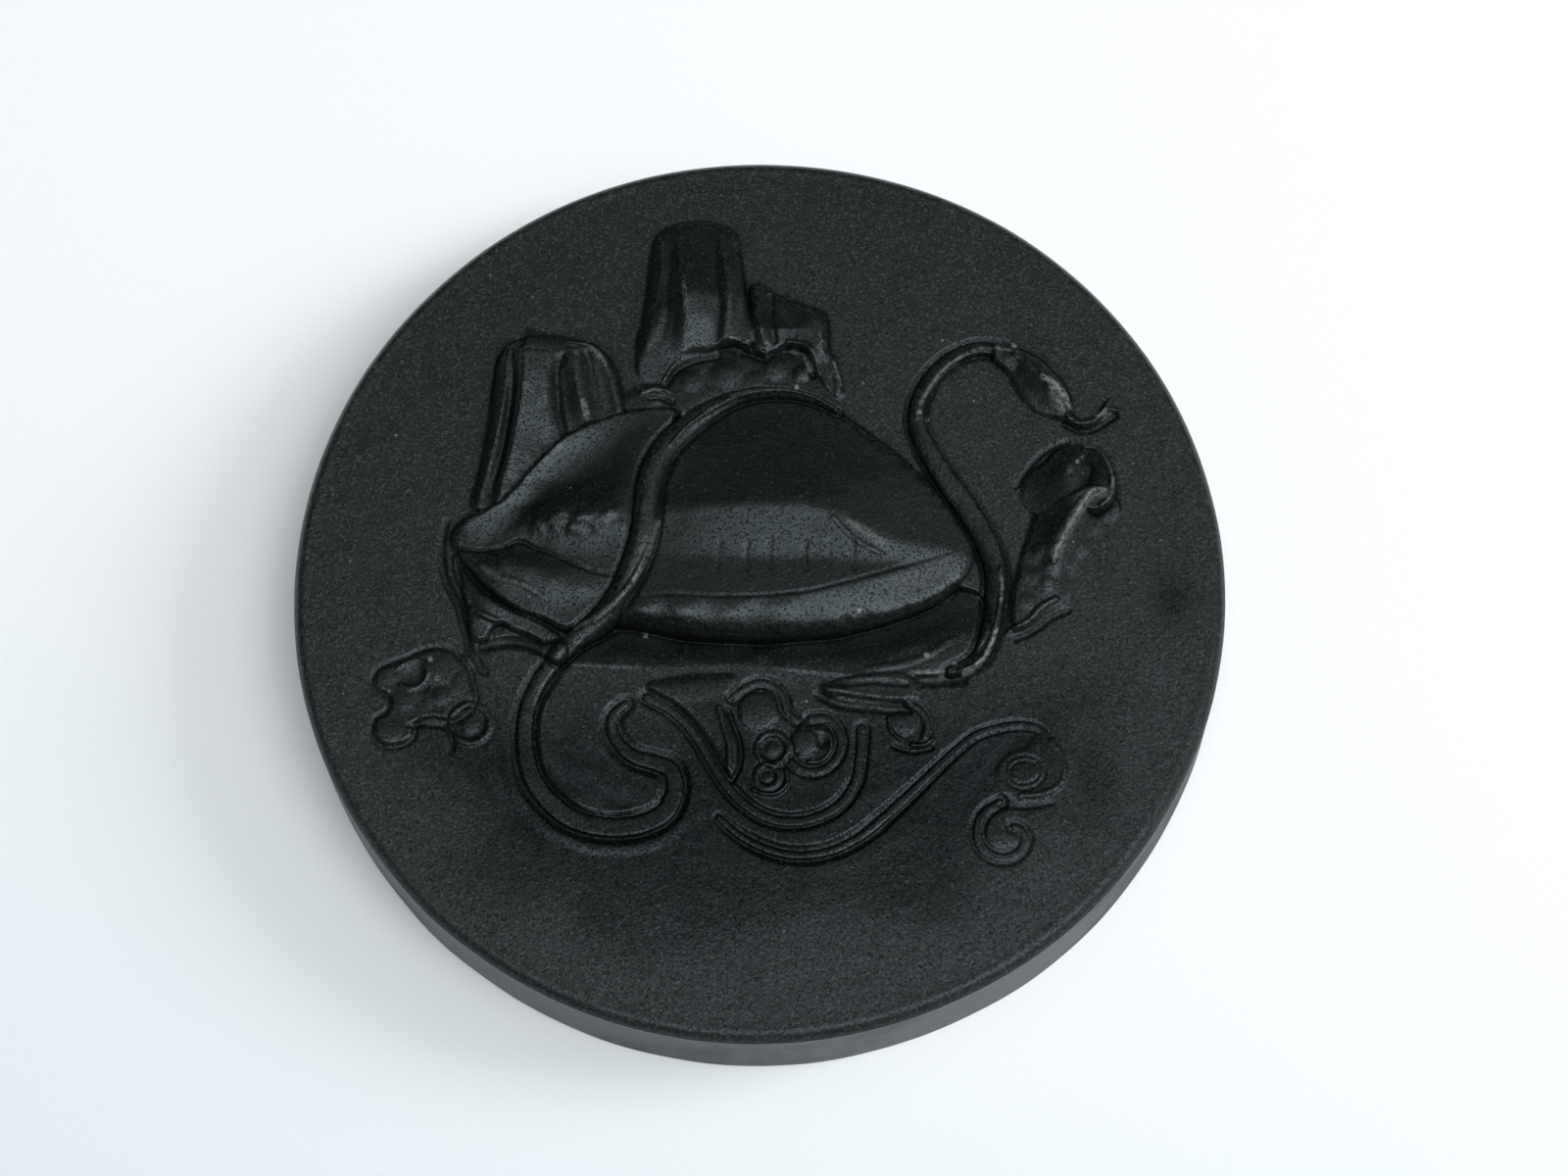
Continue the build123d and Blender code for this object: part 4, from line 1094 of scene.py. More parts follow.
def motifPiece(number, name, material):
    # one motif as a closed body that sits in the pocket under the field
    mask = cellOwner == number
    r, c = np.nonzero(mask)
    columns = len(xs)
    quads = np.column_stack([r * columns + c, r * columns + c + 1, (r + 1) * columns + c + 1,
                             (r + 1) * columns + c])
    used = np.unique(quads)
    topIndex = np.full(len(flatX), -1)
    topIndex[used] = np.arange(len(used))
    border = borderOf(mask)
    rim = np.unique(border)
    low = np.full(len(flatX), -1)
    low[rim] = len(used) + np.arange(len(rim))
    floor = cake["thickness"] - cake["pocket"]
    vertices = np.vstack([np.column_stack([flatX[used], flatY[used], flatZ[used]]),
                          np.column_stack([flatX[rim], flatY[rim], np.full(len(rim), floor)])])
    top = topIndex[quads]
    walls = np.column_stack([low[border[:, 0]], low[border[:, 1]], topIndex[border[:, 1]],
                             topIndex[border[:, 0]]])
    local = np.full(len(flatX), -1)
    local[rim] = np.arange(len(rim))
    under = triangulate(np.column_stack([flatX[rim], flatY[rim]]), local[border],
                        lambda x, y: cellAt(mask, x, y))
    under = (len(used) + under)[:, ::-1]
    loops = [flatNormals[quads.ravel()], np.repeat(faceNormals(vertices, walls), 4, axis=0),
             np.repeat([[0.0, 0.0, -1.0]], under.size, axis=0)]
    values = {key: np.concatenate([m.ravel()[used], m.ravel()[rim] * 0]) for key, m in masks.items()}
    return makeMesh(name, vertices, [top, walls, under], np.vstack(loops), values, material)


# shader helpers


def newGroup(name, inputs, outputs):
    group = bpy.data.node_groups.new(name, "ShaderNodeTree")
    for label, kind, value in inputs:
        socket = group.interface.new_socket(name=label, in_out="INPUT", socket_type=kind)
        if value is not None:
            socket.default_value = value
    for label, kind in outputs:
        group.interface.new_socket(name=label, in_out="OUTPUT", socket_type=kind)
    return group, group.nodes.new("NodeGroupInput"), group.nodes.new("NodeGroupOutput")


def link(tree, source, target):
    tree.links.new(source, target)


def calc(tree, operation, a, b=None, clamp=False):
    node = tree.nodes.new("ShaderNodeMath")
    node.operation = operation
    node.use_clamp = clamp
    for i, value in enumerate((a, b)):
        if value is None:
            continue
        if isinstance(value, (int, float)):
            node.inputs[i].default_value = value
        else:
            link(tree, value, node.inputs[i])
    return node.outputs[0]


def noise(tree, vector, scale, detail=3.0, rough=0.55, distortion=0.0):
    node = tree.nodes.new("ShaderNodeTexNoise")
    node.inputs["Detail"].default_value = detail
    node.inputs["Roughness"].default_value = rough
    node.inputs["Distortion"].default_value = distortion
    if isinstance(scale, (int, float)):
        node.inputs["Scale"].default_value = scale
    else:
        link(tree, scale, node.inputs["Scale"])
    link(tree, vector, node.inputs["Vector"])
    return node.outputs["Fac"]


def ramp(tree, value, low, high, outLow=0.0, outHigh=1.0):
    node = tree.nodes.new("ShaderNodeMapRange")
    node.interpolation_type = "SMOOTHSTEP"
    link(tree, value, node.inputs["Value"])
    for label, number in (("From Min", low), ("From Max", high), ("To Min", outLow), ("To Max", outHigh)):
        node.inputs[label].default_value = number
    return node.outputs["Result"]


def mixColor(tree, factor, a, b):
    node = tree.nodes.new("ShaderNodeMix")
    node.data_type = "RGBA"
    link(tree, factor, node.inputs[0])
    for i, value in ((6, a), (7, b)):
        if isinstance(value, tuple):
            node.inputs[i].default_value = value
        else:
            link(tree, value, node.inputs[i])
    return node.outputs[2]


def inkGrainGroup():
    # fine press grain and pits of soot and glue
    group, given, out = newGroup("inkGrain", [("Vector", "NodeSocketVector", None),
                                              ("Fine Scale", "NodeSocketFloat", 3300.0),
                                              ("Pit Scale", "NodeSocketFloat", 3600.0)],
                                 [("Height", "NodeSocketFloat"), ("Tone", "NodeSocketFloat")])
    fineGrain = noise(group, given.outputs["Vector"], given.outputs["Fine Scale"], 3.0, 0.6)
    coarse = noise(group, given.outputs["Vector"], given.outputs["Pit Scale"], 4.0, 0.62)
    pits = ramp(group, coarse, 0.34, 0.44, -1.0, 0.0)
    link(group, calc(group, "ADD", calc(group, "MULTIPLY", fineGrain, 0.7),
                     calc(group, "MULTIPLY", pits, 0.6)),
         out.inputs["Height"])
    link(group, calc(group, "MULTIPLY", calc(group, "ADD", fineGrain, coarse), 0.5), out.inputs["Tone"])
    return group


def dustGroup():
    # scattered pale specks
    group, given, out = newGroup("dustSpecks",
                                 [("Vector", "NodeSocketVector", None),
                                  ("Scale", "NodeSocketFloat", 420.0),
                                                ("Size", "NodeSocketFloat", 0.07)],
                                                [("Mask", "NodeSocketFloat")])
    cell = group.nodes.new("ShaderNodeTexVoronoi")
    cell.feature = "F1"
    link(group, given.outputs["Vector"], cell.inputs["Vector"])
    link(group, given.outputs["Scale"], cell.inputs["Scale"])
    chosen = group.nodes.new("ShaderNodeSeparateColor")
    link(group, cell.outputs["Color"], chosen.inputs[0])
    reach = calc(group, "MULTIPLY", given.outputs["Size"], chosen.outputs[1])
    near = calc(group, "LESS_THAN", cell.outputs["Distance"], reach)
    link(group, calc(group, "MULTIPLY", near, calc(group, "GREATER_THAN", chosen.outputs[0], 0.62)),
         out.inputs["Mask"])
    return group


def wearAndGlintGroup():
    # rubbed high places and painted glints, broken up by noise
    group, given, out = newGroup("edgeWearAndGlint", [("Vector", "NodeSocketVector", None),
                                              ("Crest", "NodeSocketFloat", 0.0),
                                              ("Rub", "NodeSocketFloat", 0.0)],
                                              [("Mask", "NodeSocketFloat"),
                                               ("Polish", "NodeSocketFloat")])
    broken = noise(group, given.outputs["Vector"], 1900.0, 5.0, 0.7, 0.4)
    patchy = ramp(group, broken, 0.42, 0.62)
    scuffAndGlint = calc(group, "MULTIPLY", given.outputs["Rub"], ramp(group, broken, 0.36, 0.56))
    worn = calc(group, "MULTIPLY", given.outputs["Crest"], calc(group, "MULTIPLY", patchy, 0.07))
    link(group, calc(group, "ADD", scuffAndGlint, worn, clamp=True), out.inputs["Mask"])
    link(group, given.outputs["Crest"], out.inputs["Polish"])
    return group


def streakGroup():
    # long faint wiping arcs in the polished part of the face
    group, given, out = newGroup("wipingStreaks", [("Vector", "NodeSocketVector", None)],
                                 [("Mask", "NodeSocketFloat")])
    parts = group.nodes.new("ShaderNodeSeparateXYZ")
    link(group, given.outputs["Vector"], parts.inputs[0])
    turn = calc(group, "ARCTAN2", parts.outputs["X"], calc(group, "MULTIPLY", parts.outputs["Y"], -1.0))
    length = group.nodes.new("ShaderNodeVectorMath")
    length.operation = "LENGTH"
    link(group, given.outputs["Vector"], length.inputs[0])
    polar = group.nodes.new("ShaderNodeCombineXYZ")
    link(group, calc(group, "MULTIPLY", turn, 0.004), polar.inputs["X"])
    link(group, length.outputs["Value"], polar.inputs["Y"])
    lines = noise(group, polar.outputs["Vector"], 620.0, 5.0, 0.6, 0.3)
    cloudsPart = noise(group, given.outputs["Vector"], 70.0, 2.0, 0.5)
    link(group, calc(group, "MULTIPLY", ramp(group, lines, 0.42, 0.68),
                     ramp(group, cloudsPart, 0.38, 0.66)), out.inputs["Mask"])
    return group


groups = {"grain": inkGrainGroup(), "dust": dustGroup(), "wearAndGlint": wearAndGlintGroup(), "streaks": streakGroup()}


def place(tree, group, **values):
    node = tree.nodes.new("ShaderNodeGroup")
    node.node_tree = group
    for label, value in values.items():
        socket = node.inputs[label.replace("_", " ")]
        if isinstance(value, (int, float)):
            socket.default_value = value
        else:
            link(tree, value, socket)
    return node


inkFinish = {
    "soot": (0.0062, 0.0078, 0.0076, 1.0), "handled": (0.0020, 0.0028, 0.0027, 1.0),
    "polished": (0.0018, 0.0036, 0.0044, 1.0),
    "dust": (0.16, 0.165, 0.165, 1.0), "scuffAndGlint": (0.22, 0.22, 0.215, 1.0),
    "deep": (0.0012, 0.0014, 0.0014, 1.0),
    "gloss": (0.84, 0.985, 1.0, 1.0), "speck": (0.036, 0.040, 0.040, 1.0), "matte": 0.27, "bump": 0.05,
    # the wiped zone at the front
    "wipedFrom": 0.043, "wipedTo": 0.054, "wipedShine": 0.12, "wipedDull": 0.5,
    "crestShine": 0.12, "hollowMatte": 0.1, "grainMatte": 0.16, "streakMatte": 0.2, "dustMatte": 0.3,
    "grooveDull": (0.35, 0.62), "speckAmount": 1.0, "powderAmount": 0.12, "dustAmount": 0.6,
    "scuffAndGlintAmount": 0.8,
}


def inkMaterial(name, finish):
    material = bpy.data.materials.new(name)
    material.use_nodes = True
    tree = material.node_tree
    shader = tree.nodes["Principled BSDF"]
    coordinates = tree.nodes.new("ShaderNodeTexCoord").outputs["Object"]
    masksHere = {}
    for key in ("crest", "hollow", "soot", "relief", "rubAndGlint"):
        node = tree.nodes.new("ShaderNodeAttribute")
        node.attribute_name = key
        masksHere[key] = node.outputs["Fac"]
    grain = place(tree, groups["grain"], Vector=coordinates)
    dust = place(tree, groups["dust"], Vector=coordinates)
    powder = place(tree, groups["dust"], Vector=coordinates, Scale=1700.0, Size=0.3)
    wearAndGlint = place(tree, groups["wearAndGlint"], Vector=coordinates, Crest=masksHere["crest"], Rub=masksHere["rubAndGlint"])
    streaks = place(tree, groups["streaks"], Vector=coordinates)
    split = tree.nodes.new("ShaderNodeSeparateXYZ")
    link(tree, coordinates, split.inputs[0])
    cloudy = noise(tree, coordinates, 90.0, 2.0, 0.5)
    blotch = noise(tree, coordinates, 320.0, 4.0, 0.6)
    across = tree.nodes.new("ShaderNodeVectorMath")
    across.operation = "LENGTH"
    link(tree, coordinates, across.inputs[0])
    wavy = calc(tree, "ADD", across.outputs["Value"], calc(tree, "MULTIPLY", cloudy, 0.016))
    frontSide = ramp(tree, split.outputs["Y"], -0.022, -0.008, 1.0, 0.0)
    polish = calc(tree, "MULTIPLY", frontSide,
                  ramp(tree, wavy, finish["wipedFrom"], finish["wipedTo"], 1.0, 0.0))
    edgeFilm = calc(tree, "MULTIPLY", frontSide, ramp(tree, wavy, 0.047, 0.053))
    tone = mixColor(tree, polish, finish["soot"], finish["polished"])
    tone = mixColor(tree, ramp(tree, blotch, 0.35, 0.7, 0.0, 0.5), tone, finish["deep"])
    tone = mixColor(tree, masksHere["relief"], tone, finish["handled"])
    # painted shade in the hollows, partly dirt
    tone = mixColor(tree, calc(tree, "MULTIPLY", masksHere["hollow"], 0.6), tone, finish["deep"])
    # pale scuffs, and painted highlights where the window glints
    tone = mixColor(tree, calc(tree, "MULTIPLY", wearAndGlint.outputs["Mask"], finish["scuffAndGlintAmount"]), tone,
                    finish["scuffAndGlint"])
    clean = calc(tree, "MAXIMUM", calc(tree, "MULTIPLY", polish, 0.7),
                 calc(tree, "MULTIPLY", masksHere["relief"], 0.75))
    speckle = ramp(tree, noise(tree, coordinates, 3300.0, 2.0, 0.7), 0.53, 0.67, 0.0,
                   finish["speckAmount"])
    tone = mixColor(tree, calc(tree, "MULTIPLY", speckle, calc(tree, "SUBTRACT", 1.0, clean)), tone,
                    finish["speck"])
    tone = mixColor(tree, calc(tree, "MULTIPLY", powder.outputs["Mask"], finish["powderAmount"]), tone,
                    finish["dust"])
    tone = mixColor(tree, calc(tree, "MULTIPLY", dust.outputs["Mask"], finish["dustAmount"]), tone,
                    finish["dust"])
    link(tree, tone, shader.inputs["Base Color"])
    rough = calc(tree, "SUBTRACT", finish["matte"], calc(tree, "MULTIPLY", polish, finish["wipedShine"]))
    rough = calc(tree, "SUBTRACT", rough, calc(tree, "MULTIPLY", masksHere["crest"],
                                               finish["crestShine"]))
    rough = calc(tree, "ADD", rough, calc(tree, "MULTIPLY", grain.outputs["Tone"], finish["grainMatte"]))
    rough = calc(tree, "ADD", rough, calc(tree, "MULTIPLY", masksHere["hollow"], finish["hollowMatte"]))
    rough = calc(tree, "ADD", rough, calc(tree, "MULTIPLY",
                                          calc(tree, "MULTIPLY", streaks.outputs["Mask"], edgeFilm),
                                          finish["streakMatte"]))
    rough = calc(tree, "ADD", rough, calc(tree, "MULTIPLY", edgeFilm, 0.05))
    link(tree, calc(tree, "ADD", rough, calc(tree, "MULTIPLY", dust.outputs["Mask"], finish["dustMatte"]),
                    clamp=True), shader.inputs["Roughness"])
    dullAndShade = calc(tree, "MULTIPLY", masksHere["soot"], ramp(tree, blotch, 0.25, 0.6, *finish["grooveDull"]))
    washed = calc(tree, "SUBTRACT", 1.0, calc(tree, "MULTIPLY", streaks.outputs["Mask"], 0.7))
    dullAndShade = calc(tree, "MAXIMUM", dullAndShade, calc(tree, "MULTIPLY", calc(tree, "MULTIPLY", polish, washed),
                                          finish["wipedDull"]))
    # ink is no metal; this takes gloss away in the grooves, painting shade there that is partly soot, and
    # in the wiped zone
    link(tree, dullAndShade, shader.inputs["Metallic"])
    bump = tree.nodes.new("ShaderNodeBump")
    bump.inputs["Distance"].default_value = finish["bump"] * mm
    bump.inputs["Strength"].default_value = 1.0
    uneven = calc(tree, "MULTIPLY", blotch, 2.0)
    link(tree, calc(tree, "ADD", calc(tree, "MULTIPLY", grain.outputs["Height"], 1.5), uneven),
         bump.inputs["Height"])
    link(tree, bump.outputs["Normal"], shader.inputs["Normal"])
    shader.inputs["IOR"].default_value = 1.46
    shader.inputs["Specular Tint"].default_value = finish["gloss"]
    return material


inkFace = inkMaterial("inkFace", inkFinish)
print("materials")

pieces = {
    "shellDome": ("shellDomeFront", ["shell_dome"]), "shellRim": ("shellRimFront", ["shell_rim"]),
    "shellDomeRear": ("shellDomeBack", ["shell_dome_rear"]),
    "shellRimRear": ("shellLipBack", ["shell_rim_rear"]),
    "snakeCoil": ("snakeCoilBody", ["snake_coil"]), "snakeTail": ("snakeTailLoop", ["snake_tail"]),
    "snakeNeck": ("snakeNeckLoop", ["snake_neck"]), "snakeHead": ("snakeHeadFace", ["snake_head"]),
    "snakeTongue": ("snakeTongueFork", ["snake_tongue"]),
    "tortoiseHead": ("tortoiseHeadFace", ["tortoise_head"]),
    "tortoiseNeck": ("tortoiseNeckSkin", ["tortoise_neck"]),
    "tortoiseBelly": ("tortoiseBellySkin", ["tortoise_belly"]),
    "frontFoot": ("tortoiseFrontFoot", ["front_foot"]), "rearFoot": ("tortoiseRearFoot", ["rear_foot"]),
    "rockLeft": ("rockLeftFace", ["rock_left"]), "rockCentre": ("rockCentreFace", ["rock_centre"]),
    "rockRight": ("rockRightFace", ["rock_right"]), "rockBase": ("rockBaseLedge", ["rock_base"]),
    "cloudLeft": ("cloudLeftLobes", ["cloud_left"]),
    "cloudLeftRing": ("cloudLeftCurl", ["cloud_left_ring"]),
    "cloudPendant": ("cloudPendantRibbon", ["cloud_pendant"]),
    "cloudLeaf": ("cloudLeafLobe", ["cloud_leaf"]),
    "cloudCurls": ("cloudCurlRings", ["cloud_curls"]),
    "cloudStreamer": ("cloudStreamerRibbon", ["cloud_streamer"]),
    "cloudScroll": ("cloudScrollLobe", ["cloud_scroll"]), "cloudHook": ("cloudHookCurl", ["cloud_hook"]),
    "curlFoot": ("footCurlBoss", ["foot_curl"]),
}
for number, key in enumerate(ownerNames):
    name, nodes = pieces[key]
    thing = motifPiece(number, name, inkFace)
    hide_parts(*nodes)
    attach(thing, "root")
    print(name, len(thing.data.polygons))


# the cake itself: field, pocket under the motifs, rounded edge, drafted side and base

def outlineFactor(angle):
    # the pressed outline isn't a true circle; degrees anticlockwise from +X
    a = np.asarray(angle) % 360
    out = 0.0008 * np.sin(np.radians(3 * a + 40)) + 0.0006 * np.sin(np.radians(5 * a + 200))
    for centre, width, size in ((216, 9, -0.0022), (227, 5, 0.0014), (306, 10, 0.0016), (327, 7, -0.0018),
                                (136, 8, -0.0014),
                                (62, 12, 0.001), (12, 9, -0.001)):
        d = (a - centre + 180) % 360 - 180
        out = out + size * np.exp(-((d / width) ** 2))
    return 1 + out


def cakeBody(material):
    angles = np.linspace(0, 2 * math.pi, cake["around"], endpoint=False)
    factor = outlineFactor(np.degrees(angles))
    field = cake["fieldRadius"]
    border = borderOf(cells)
    rim = np.unique(border)
    rng = np.random.default_rng(8)
    spacing = 1.1
    px, py = np.meshgrid(np.arange(-field, field, spacing), np.arange(-field, field, spacing))
    px = (px + rng.uniform(-0.25, 0.25, px.shape)).ravel()
    py = (py + rng.uniform(-0.25, 0.25, py.shape)).ravel()
    near = np.zeros(px.shape, bool)
    for dx in (-0.3, 0, 0.3):
        for dy in (-0.3, 0, 0.3):
            near |= cellAt(cells, px + dx, py + dy)
    free = (np.hypot(px, py) < field - 0.8) & ~near
    ringX, ringY = field * np.cos(angles) * factor, field * np.sin(angles) * factor
    points = np.column_stack([np.concatenate([flatX[rim], px[free], ringX]),
                              np.concatenate([flatY[rim], py[free], ringY])])
    local = np.full(len(flatX), -1)
    local[rim] = np.arange(len(rim))
    ringStart = len(points) - len(angles)
    ringIndex = ringStart + np.arange(len(angles))
    edges = np.vstack([local[border], np.column_stack([ringIndex, np.roll(ringIndex, -1)])])
    top = triangulate(points, edges, lambda x, y: ~cellAt(cells, x, y))
    z = np.concatenate([flatZ[rim], cake["thickness"] + ground(points[len(rim):, 0],
            points[len(rim):, 1])])
    gx = (ground(points[:, 0] + 0.05, points[:, 1]) - ground(points[:, 0] - 0.05, points[:, 1])) / 0.1
    gy = (ground(points[:, 0], points[:, 1] + 0.05) - ground(points[:, 0], points[:, 1] - 0.05)) / 0.1
    pointNormals = np.column_stack([-gx, -gy, np.ones(len(points))])
    pointNormals[:len(rim)] = flatNormals[rim]
    pointNormals /= np.linalg.norm(pointNormals, axis=1, keepdims=True)
    c = np.clip(((points[:, 0] - xs[0]) / carving["step"]).astype(int), 0, len(xs) - 1)
    r = np.clip(((points[:, 1] - ys[0]) / carving["step"]).astype(int), 0, len(ys) - 1)
    relief = reliefMask[r, c] * (points[:, 0] > xs[0]) * (points[:, 0] < xs[-1])
    relief = relief * (points[:, 1] > ys[0]) * (points[:, 1] < ys[-1])
    smudge = np.zeros(len(points))
    for x, y, across, along in cake["smudges"]:
        smudge = np.maximum(smudge,
                np.exp(-(((points[:, 0] - x) / across) ** 2) - ((points[:, 1] - y) / along) ** 2))
    relief = np.maximum(relief, smudge)
    vertices = [np.column_stack([points, z])]
    count = len(points)
    faces, loops = [top], [pointNormals[top.ravel()]]

    # pocket
    floor = cake["thickness"] - cake["pocket"] - 0.02
    lowRim = count + np.arange(len(rim))
    vertices.append(np.column_stack([flatX[rim], flatY[rim], np.full(len(rim), floor)]))
    count += len(rim)
    a, b = local[border[:, 0]], local[border[:, 1]]
    walls = np.column_stack([lowRim[a], a, b, lowRim[b]])
    bottom = triangulate(points[:len(rim)], local[border], lambda x, y: cellAt(cells, x, y))
    faces += [walls, lowRim[bottom]]

    # section of the edge and side, from the field down to the base, as radius and height
    baseRadius, crestRadius = cake["radius"], cake["crestRadius"]
    faceHeight, drop = cake["thickness"], cake["crestDrop"]
    band = crestRadius - field
    fall = 4  # the field stays level until close to the crest
    endAngle = math.atan(fall * drop / band)
    section, sectionNormals = [], []
    for share in np.linspace(0, 1, 13)[1:]:
        # the mould's parting edge stands a little proud
        lip = cake["lip"] * math.exp(-(((share - 0.6) / 0.3) ** 2))
        section.append((field + band * share, faceHeight - drop * share**fall + lip))
        rise = -fall * drop * share ** (fall - 1) - lip * 2 * (share - 0.6) / 0.09
        slope = math.atan(-rise / band)
        sectionNormals.append((math.sin(slope), math.cos(slope)))
    corner = section.pop()
    sectionNormals.pop()
    sideAngle = math.atan2(baseRadius - crestRadius, faceHeight - drop)
    soft = 0.22  # radius of the crest's own corner
    for share in np.linspace(0, 1, 6):
        turned = endAngle + (math.pi / 2 - sideAngle - endAngle) * share
        section.append((corner[0] - soft * 0.55 + soft * math.sin(turned) * 0.9,
                        corner[1] - soft * 0.95 + soft * math.cos(turned)))
        sectionNormals.append((math.sin(turned), math.cos(turned)))
    for share in np.linspace(0.04, 0.96, 14):
        section.append((crestRadius + (baseRadius - crestRadius) * share,
                        faceHeight - drop + (cake["baseBreak"] - faceHeight + drop) * share))
        sectionNormals.append((math.cos(sideAngle), math.sin(sideAngle)))
    for inset, level, facing in ((0.02, 0.42, (0.95, -0.3)), (0.14, 0.16, (0.7, -0.7)),
                                 (0.4, 0.0, (0.2, -0.98)),
                                 (4, 0.0, (0, -1.0))):
        section.append((baseRadius - inset, level))
        sectionNormals.append(facing)
    wave = 0.02 * np.sin(7 * angles + 1.0) + 0.015 * np.sin(13 * angles + 2.2) + 0.012 * np.sin(29 * angles)
    previous = ringIndex
    previousNormals = np.repeat([[0.0, 0.0, 1.0]], len(angles), axis=0)
    crestWave = 0.05 * np.sin(3 * angles + 0.6) + 0.03 * np.sin(8 * angles)
    for (out, level), (nr, nz) in zip(section, sectionNormals):
        sideShare = np.clip((faceHeight - drop - level) / 9.0, 0, 1)
        radius = out * factor + wave * (0.4 + sideShare) * (1 if level > 0.05 else 0.6)
        heightHere = level + crestWave * np.clip((level - 8.5) / 2.0, 0,
                                                 1) * (1 if out > field + 0.5 else 0.3)
        ring = count + np.arange(len(angles))
        vertices.append(np.column_stack([radius * np.cos(angles), radius * np.sin(angles), heightHere]))
        n = np.column_stack([nr * np.cos(angles), nr * np.sin(angles), np.full(len(angles), nz)])
        n /= np.linalg.norm(n, axis=1, keepdims=True)
        quads = np.column_stack([previous, ring, np.roll(ring, -1), np.roll(previous, -1)])
        faces.append(quads)
        count += len(angles)
        loops.append(("ring", previousNormals, n))
        previous, previousNormals = ring, n
    base = np.array([previous[::-1]])
    faces.append(base)
    allVertices = np.vstack(vertices)
    normalsOut = [loops[0], np.repeat(faceNormals(allVertices, walls), 4, axis=0),
                  np.repeat([[0.0, 0.0, 1.0]], bottom.size, axis=0)]
    for item in loops[1:]:
        before, after = item[1], item[2]
        normalsOut.append(np.stack([before, after, np.roll(after, -1, axis=0),
                                    np.roll(before, -1, axis=0)], axis=1).reshape(-1, 3))
    normalsOut.append(np.repeat([[0.0, 0.0, -1.0]], base.size, axis=0))
    values = {key: np.zeros(len(allVertices)) for key in masks}
    values["relief"][:len(points)] = relief
    values["soot"][:len(points)] = 0.7 * smudge
    values["soot"][:len(rim)] = sootAndShadeMask.ravel()[rim]
    radial = np.hypot(allVertices[:, 0], allVertices[:, 1])
    onCrest = np.exp(-(((radial - cake["crestRadius"]) / 0.35) ** 2))
    values["crest"][:] = onCrest * (np.abs(allVertices[:, 2] - 10.3) < 0.5) * 0.7
    return makeMesh("inkCakeBody", allVertices, faces, np.vstack(normalsOut), values, material)


body = cakeBody(inkFace)
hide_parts("ink_disc")
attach(body, "root")
print("cake", len(body.data.polygons))


# floor, light and camera

paper = {
    "size": 6.0, "tone": (0.92, 0.925, 0.93, 1.0), "shade": (0.67, 0.76, 0.815, 1.0),
    "shadeFrom": -0.16, "shadeTo": 0.05,  # painted shade: the near left of the sheet is darker
}


def paperFloor():
    half = paper["size"] / 2
    steps = np.linspace(-half, half, 41)
    vertices = [(x, y, 0.0) for y in steps for x in steps]
    faces = [(r * 41 + c, r * 41 + c + 1, (r + 1) * 41 + c + 1,
              (r + 1) * 41 + c) for r in range(40) for c in range(40)]
    mesh = bpy.data.meshes.new("paperFloor")
    mesh.from_pydata(vertices, [], faces)
    floor = bpy.data.objects.new("paperFloor", mesh)
    bpy.context.scene.collection.objects.link(floor)
    material = bpy.data.materials.new("paperSheet")
    material.use_nodes = True
    tree = material.node_tree
    shader = tree.nodes["Principled BSDF"]
    coordinates = tree.nodes.new("ShaderNodeTexCoord").outputs["Object"]
    split = tree.nodes.new("ShaderNodeSeparateXYZ")
    link(tree, coordinates, split.inputs[0])
    along = calc(tree, "ADD", calc(tree, "MULTIPLY", split.outputs["X"], 0.45),
                 calc(tree, "MULTIPLY", split.outputs["Y"], 0.9))
    cloudy = calc(tree, "MULTIPLY", noise(tree, coordinates, 12.0, 3.0), 0.04)
    lightness = ramp(tree, calc(tree, "ADD", along, cloudy), paper["shadeFrom"], paper["shadeTo"])
    tint = mixColor(tree, lightness, paper["shade"], paper["tone"])
    link(tree, tint, shader.inputs["Base Color"])
    bump = tree.nodes.new("ShaderNodeBump")
    bump.inputs["Distance"].default_value = 0.00003
    link(tree, noise(tree, coordinates, 1500.0, 3.0), bump.inputs["Height"])
    link(tree, bump.outputs["Normal"], shader.inputs["Normal"])
    shader.inputs["Roughness"].default_value = 0.8
    shader.inputs["Specular IOR Level"].default_value = 0.2
    mesh.materials.append(material)


paperFloor()

studio = {
    "tint": (0.97, 1.0, 1.01), "strength": 1.2,
    # brightness of the sky against how far a direction leans towards +Y
    "acrossY": [(-1.0, 0.05), (-0.65, 0.1), (-0.52, 0.4), (-0.43, 1.6), (-0.33, 3.4), (-0.12, 3.3),
                (-0.04, 1.6), (0.03, 0.7),
                (0.1, 0.27), (0.2, 0.39), (0.34, 0.48), (0.5, 0.45), (0.58, 0.14), (0.66, 0.01),
                (0.87, 0.01), (0.95, 0.03),
                (1.0, 0.15)],
    "acrossX": [(-1.0, 0.1), (-0.6, 0.03), (-0.4, 0.1), (-0.24, 1.05), (-0.1, 1.12), (0.2, 0.98),
                (0.36, 1.5), (0.5, 1.7),
                (0.66, 0.9), (0.8, 0.15), (1.0, 0.3)],
    "backdrop": (0.90, 0.93, 0.95, 1.0),
    "window": {"place": (1.0, 0.12, 0.52), "size": 0.42, "watts": 7.5},
}


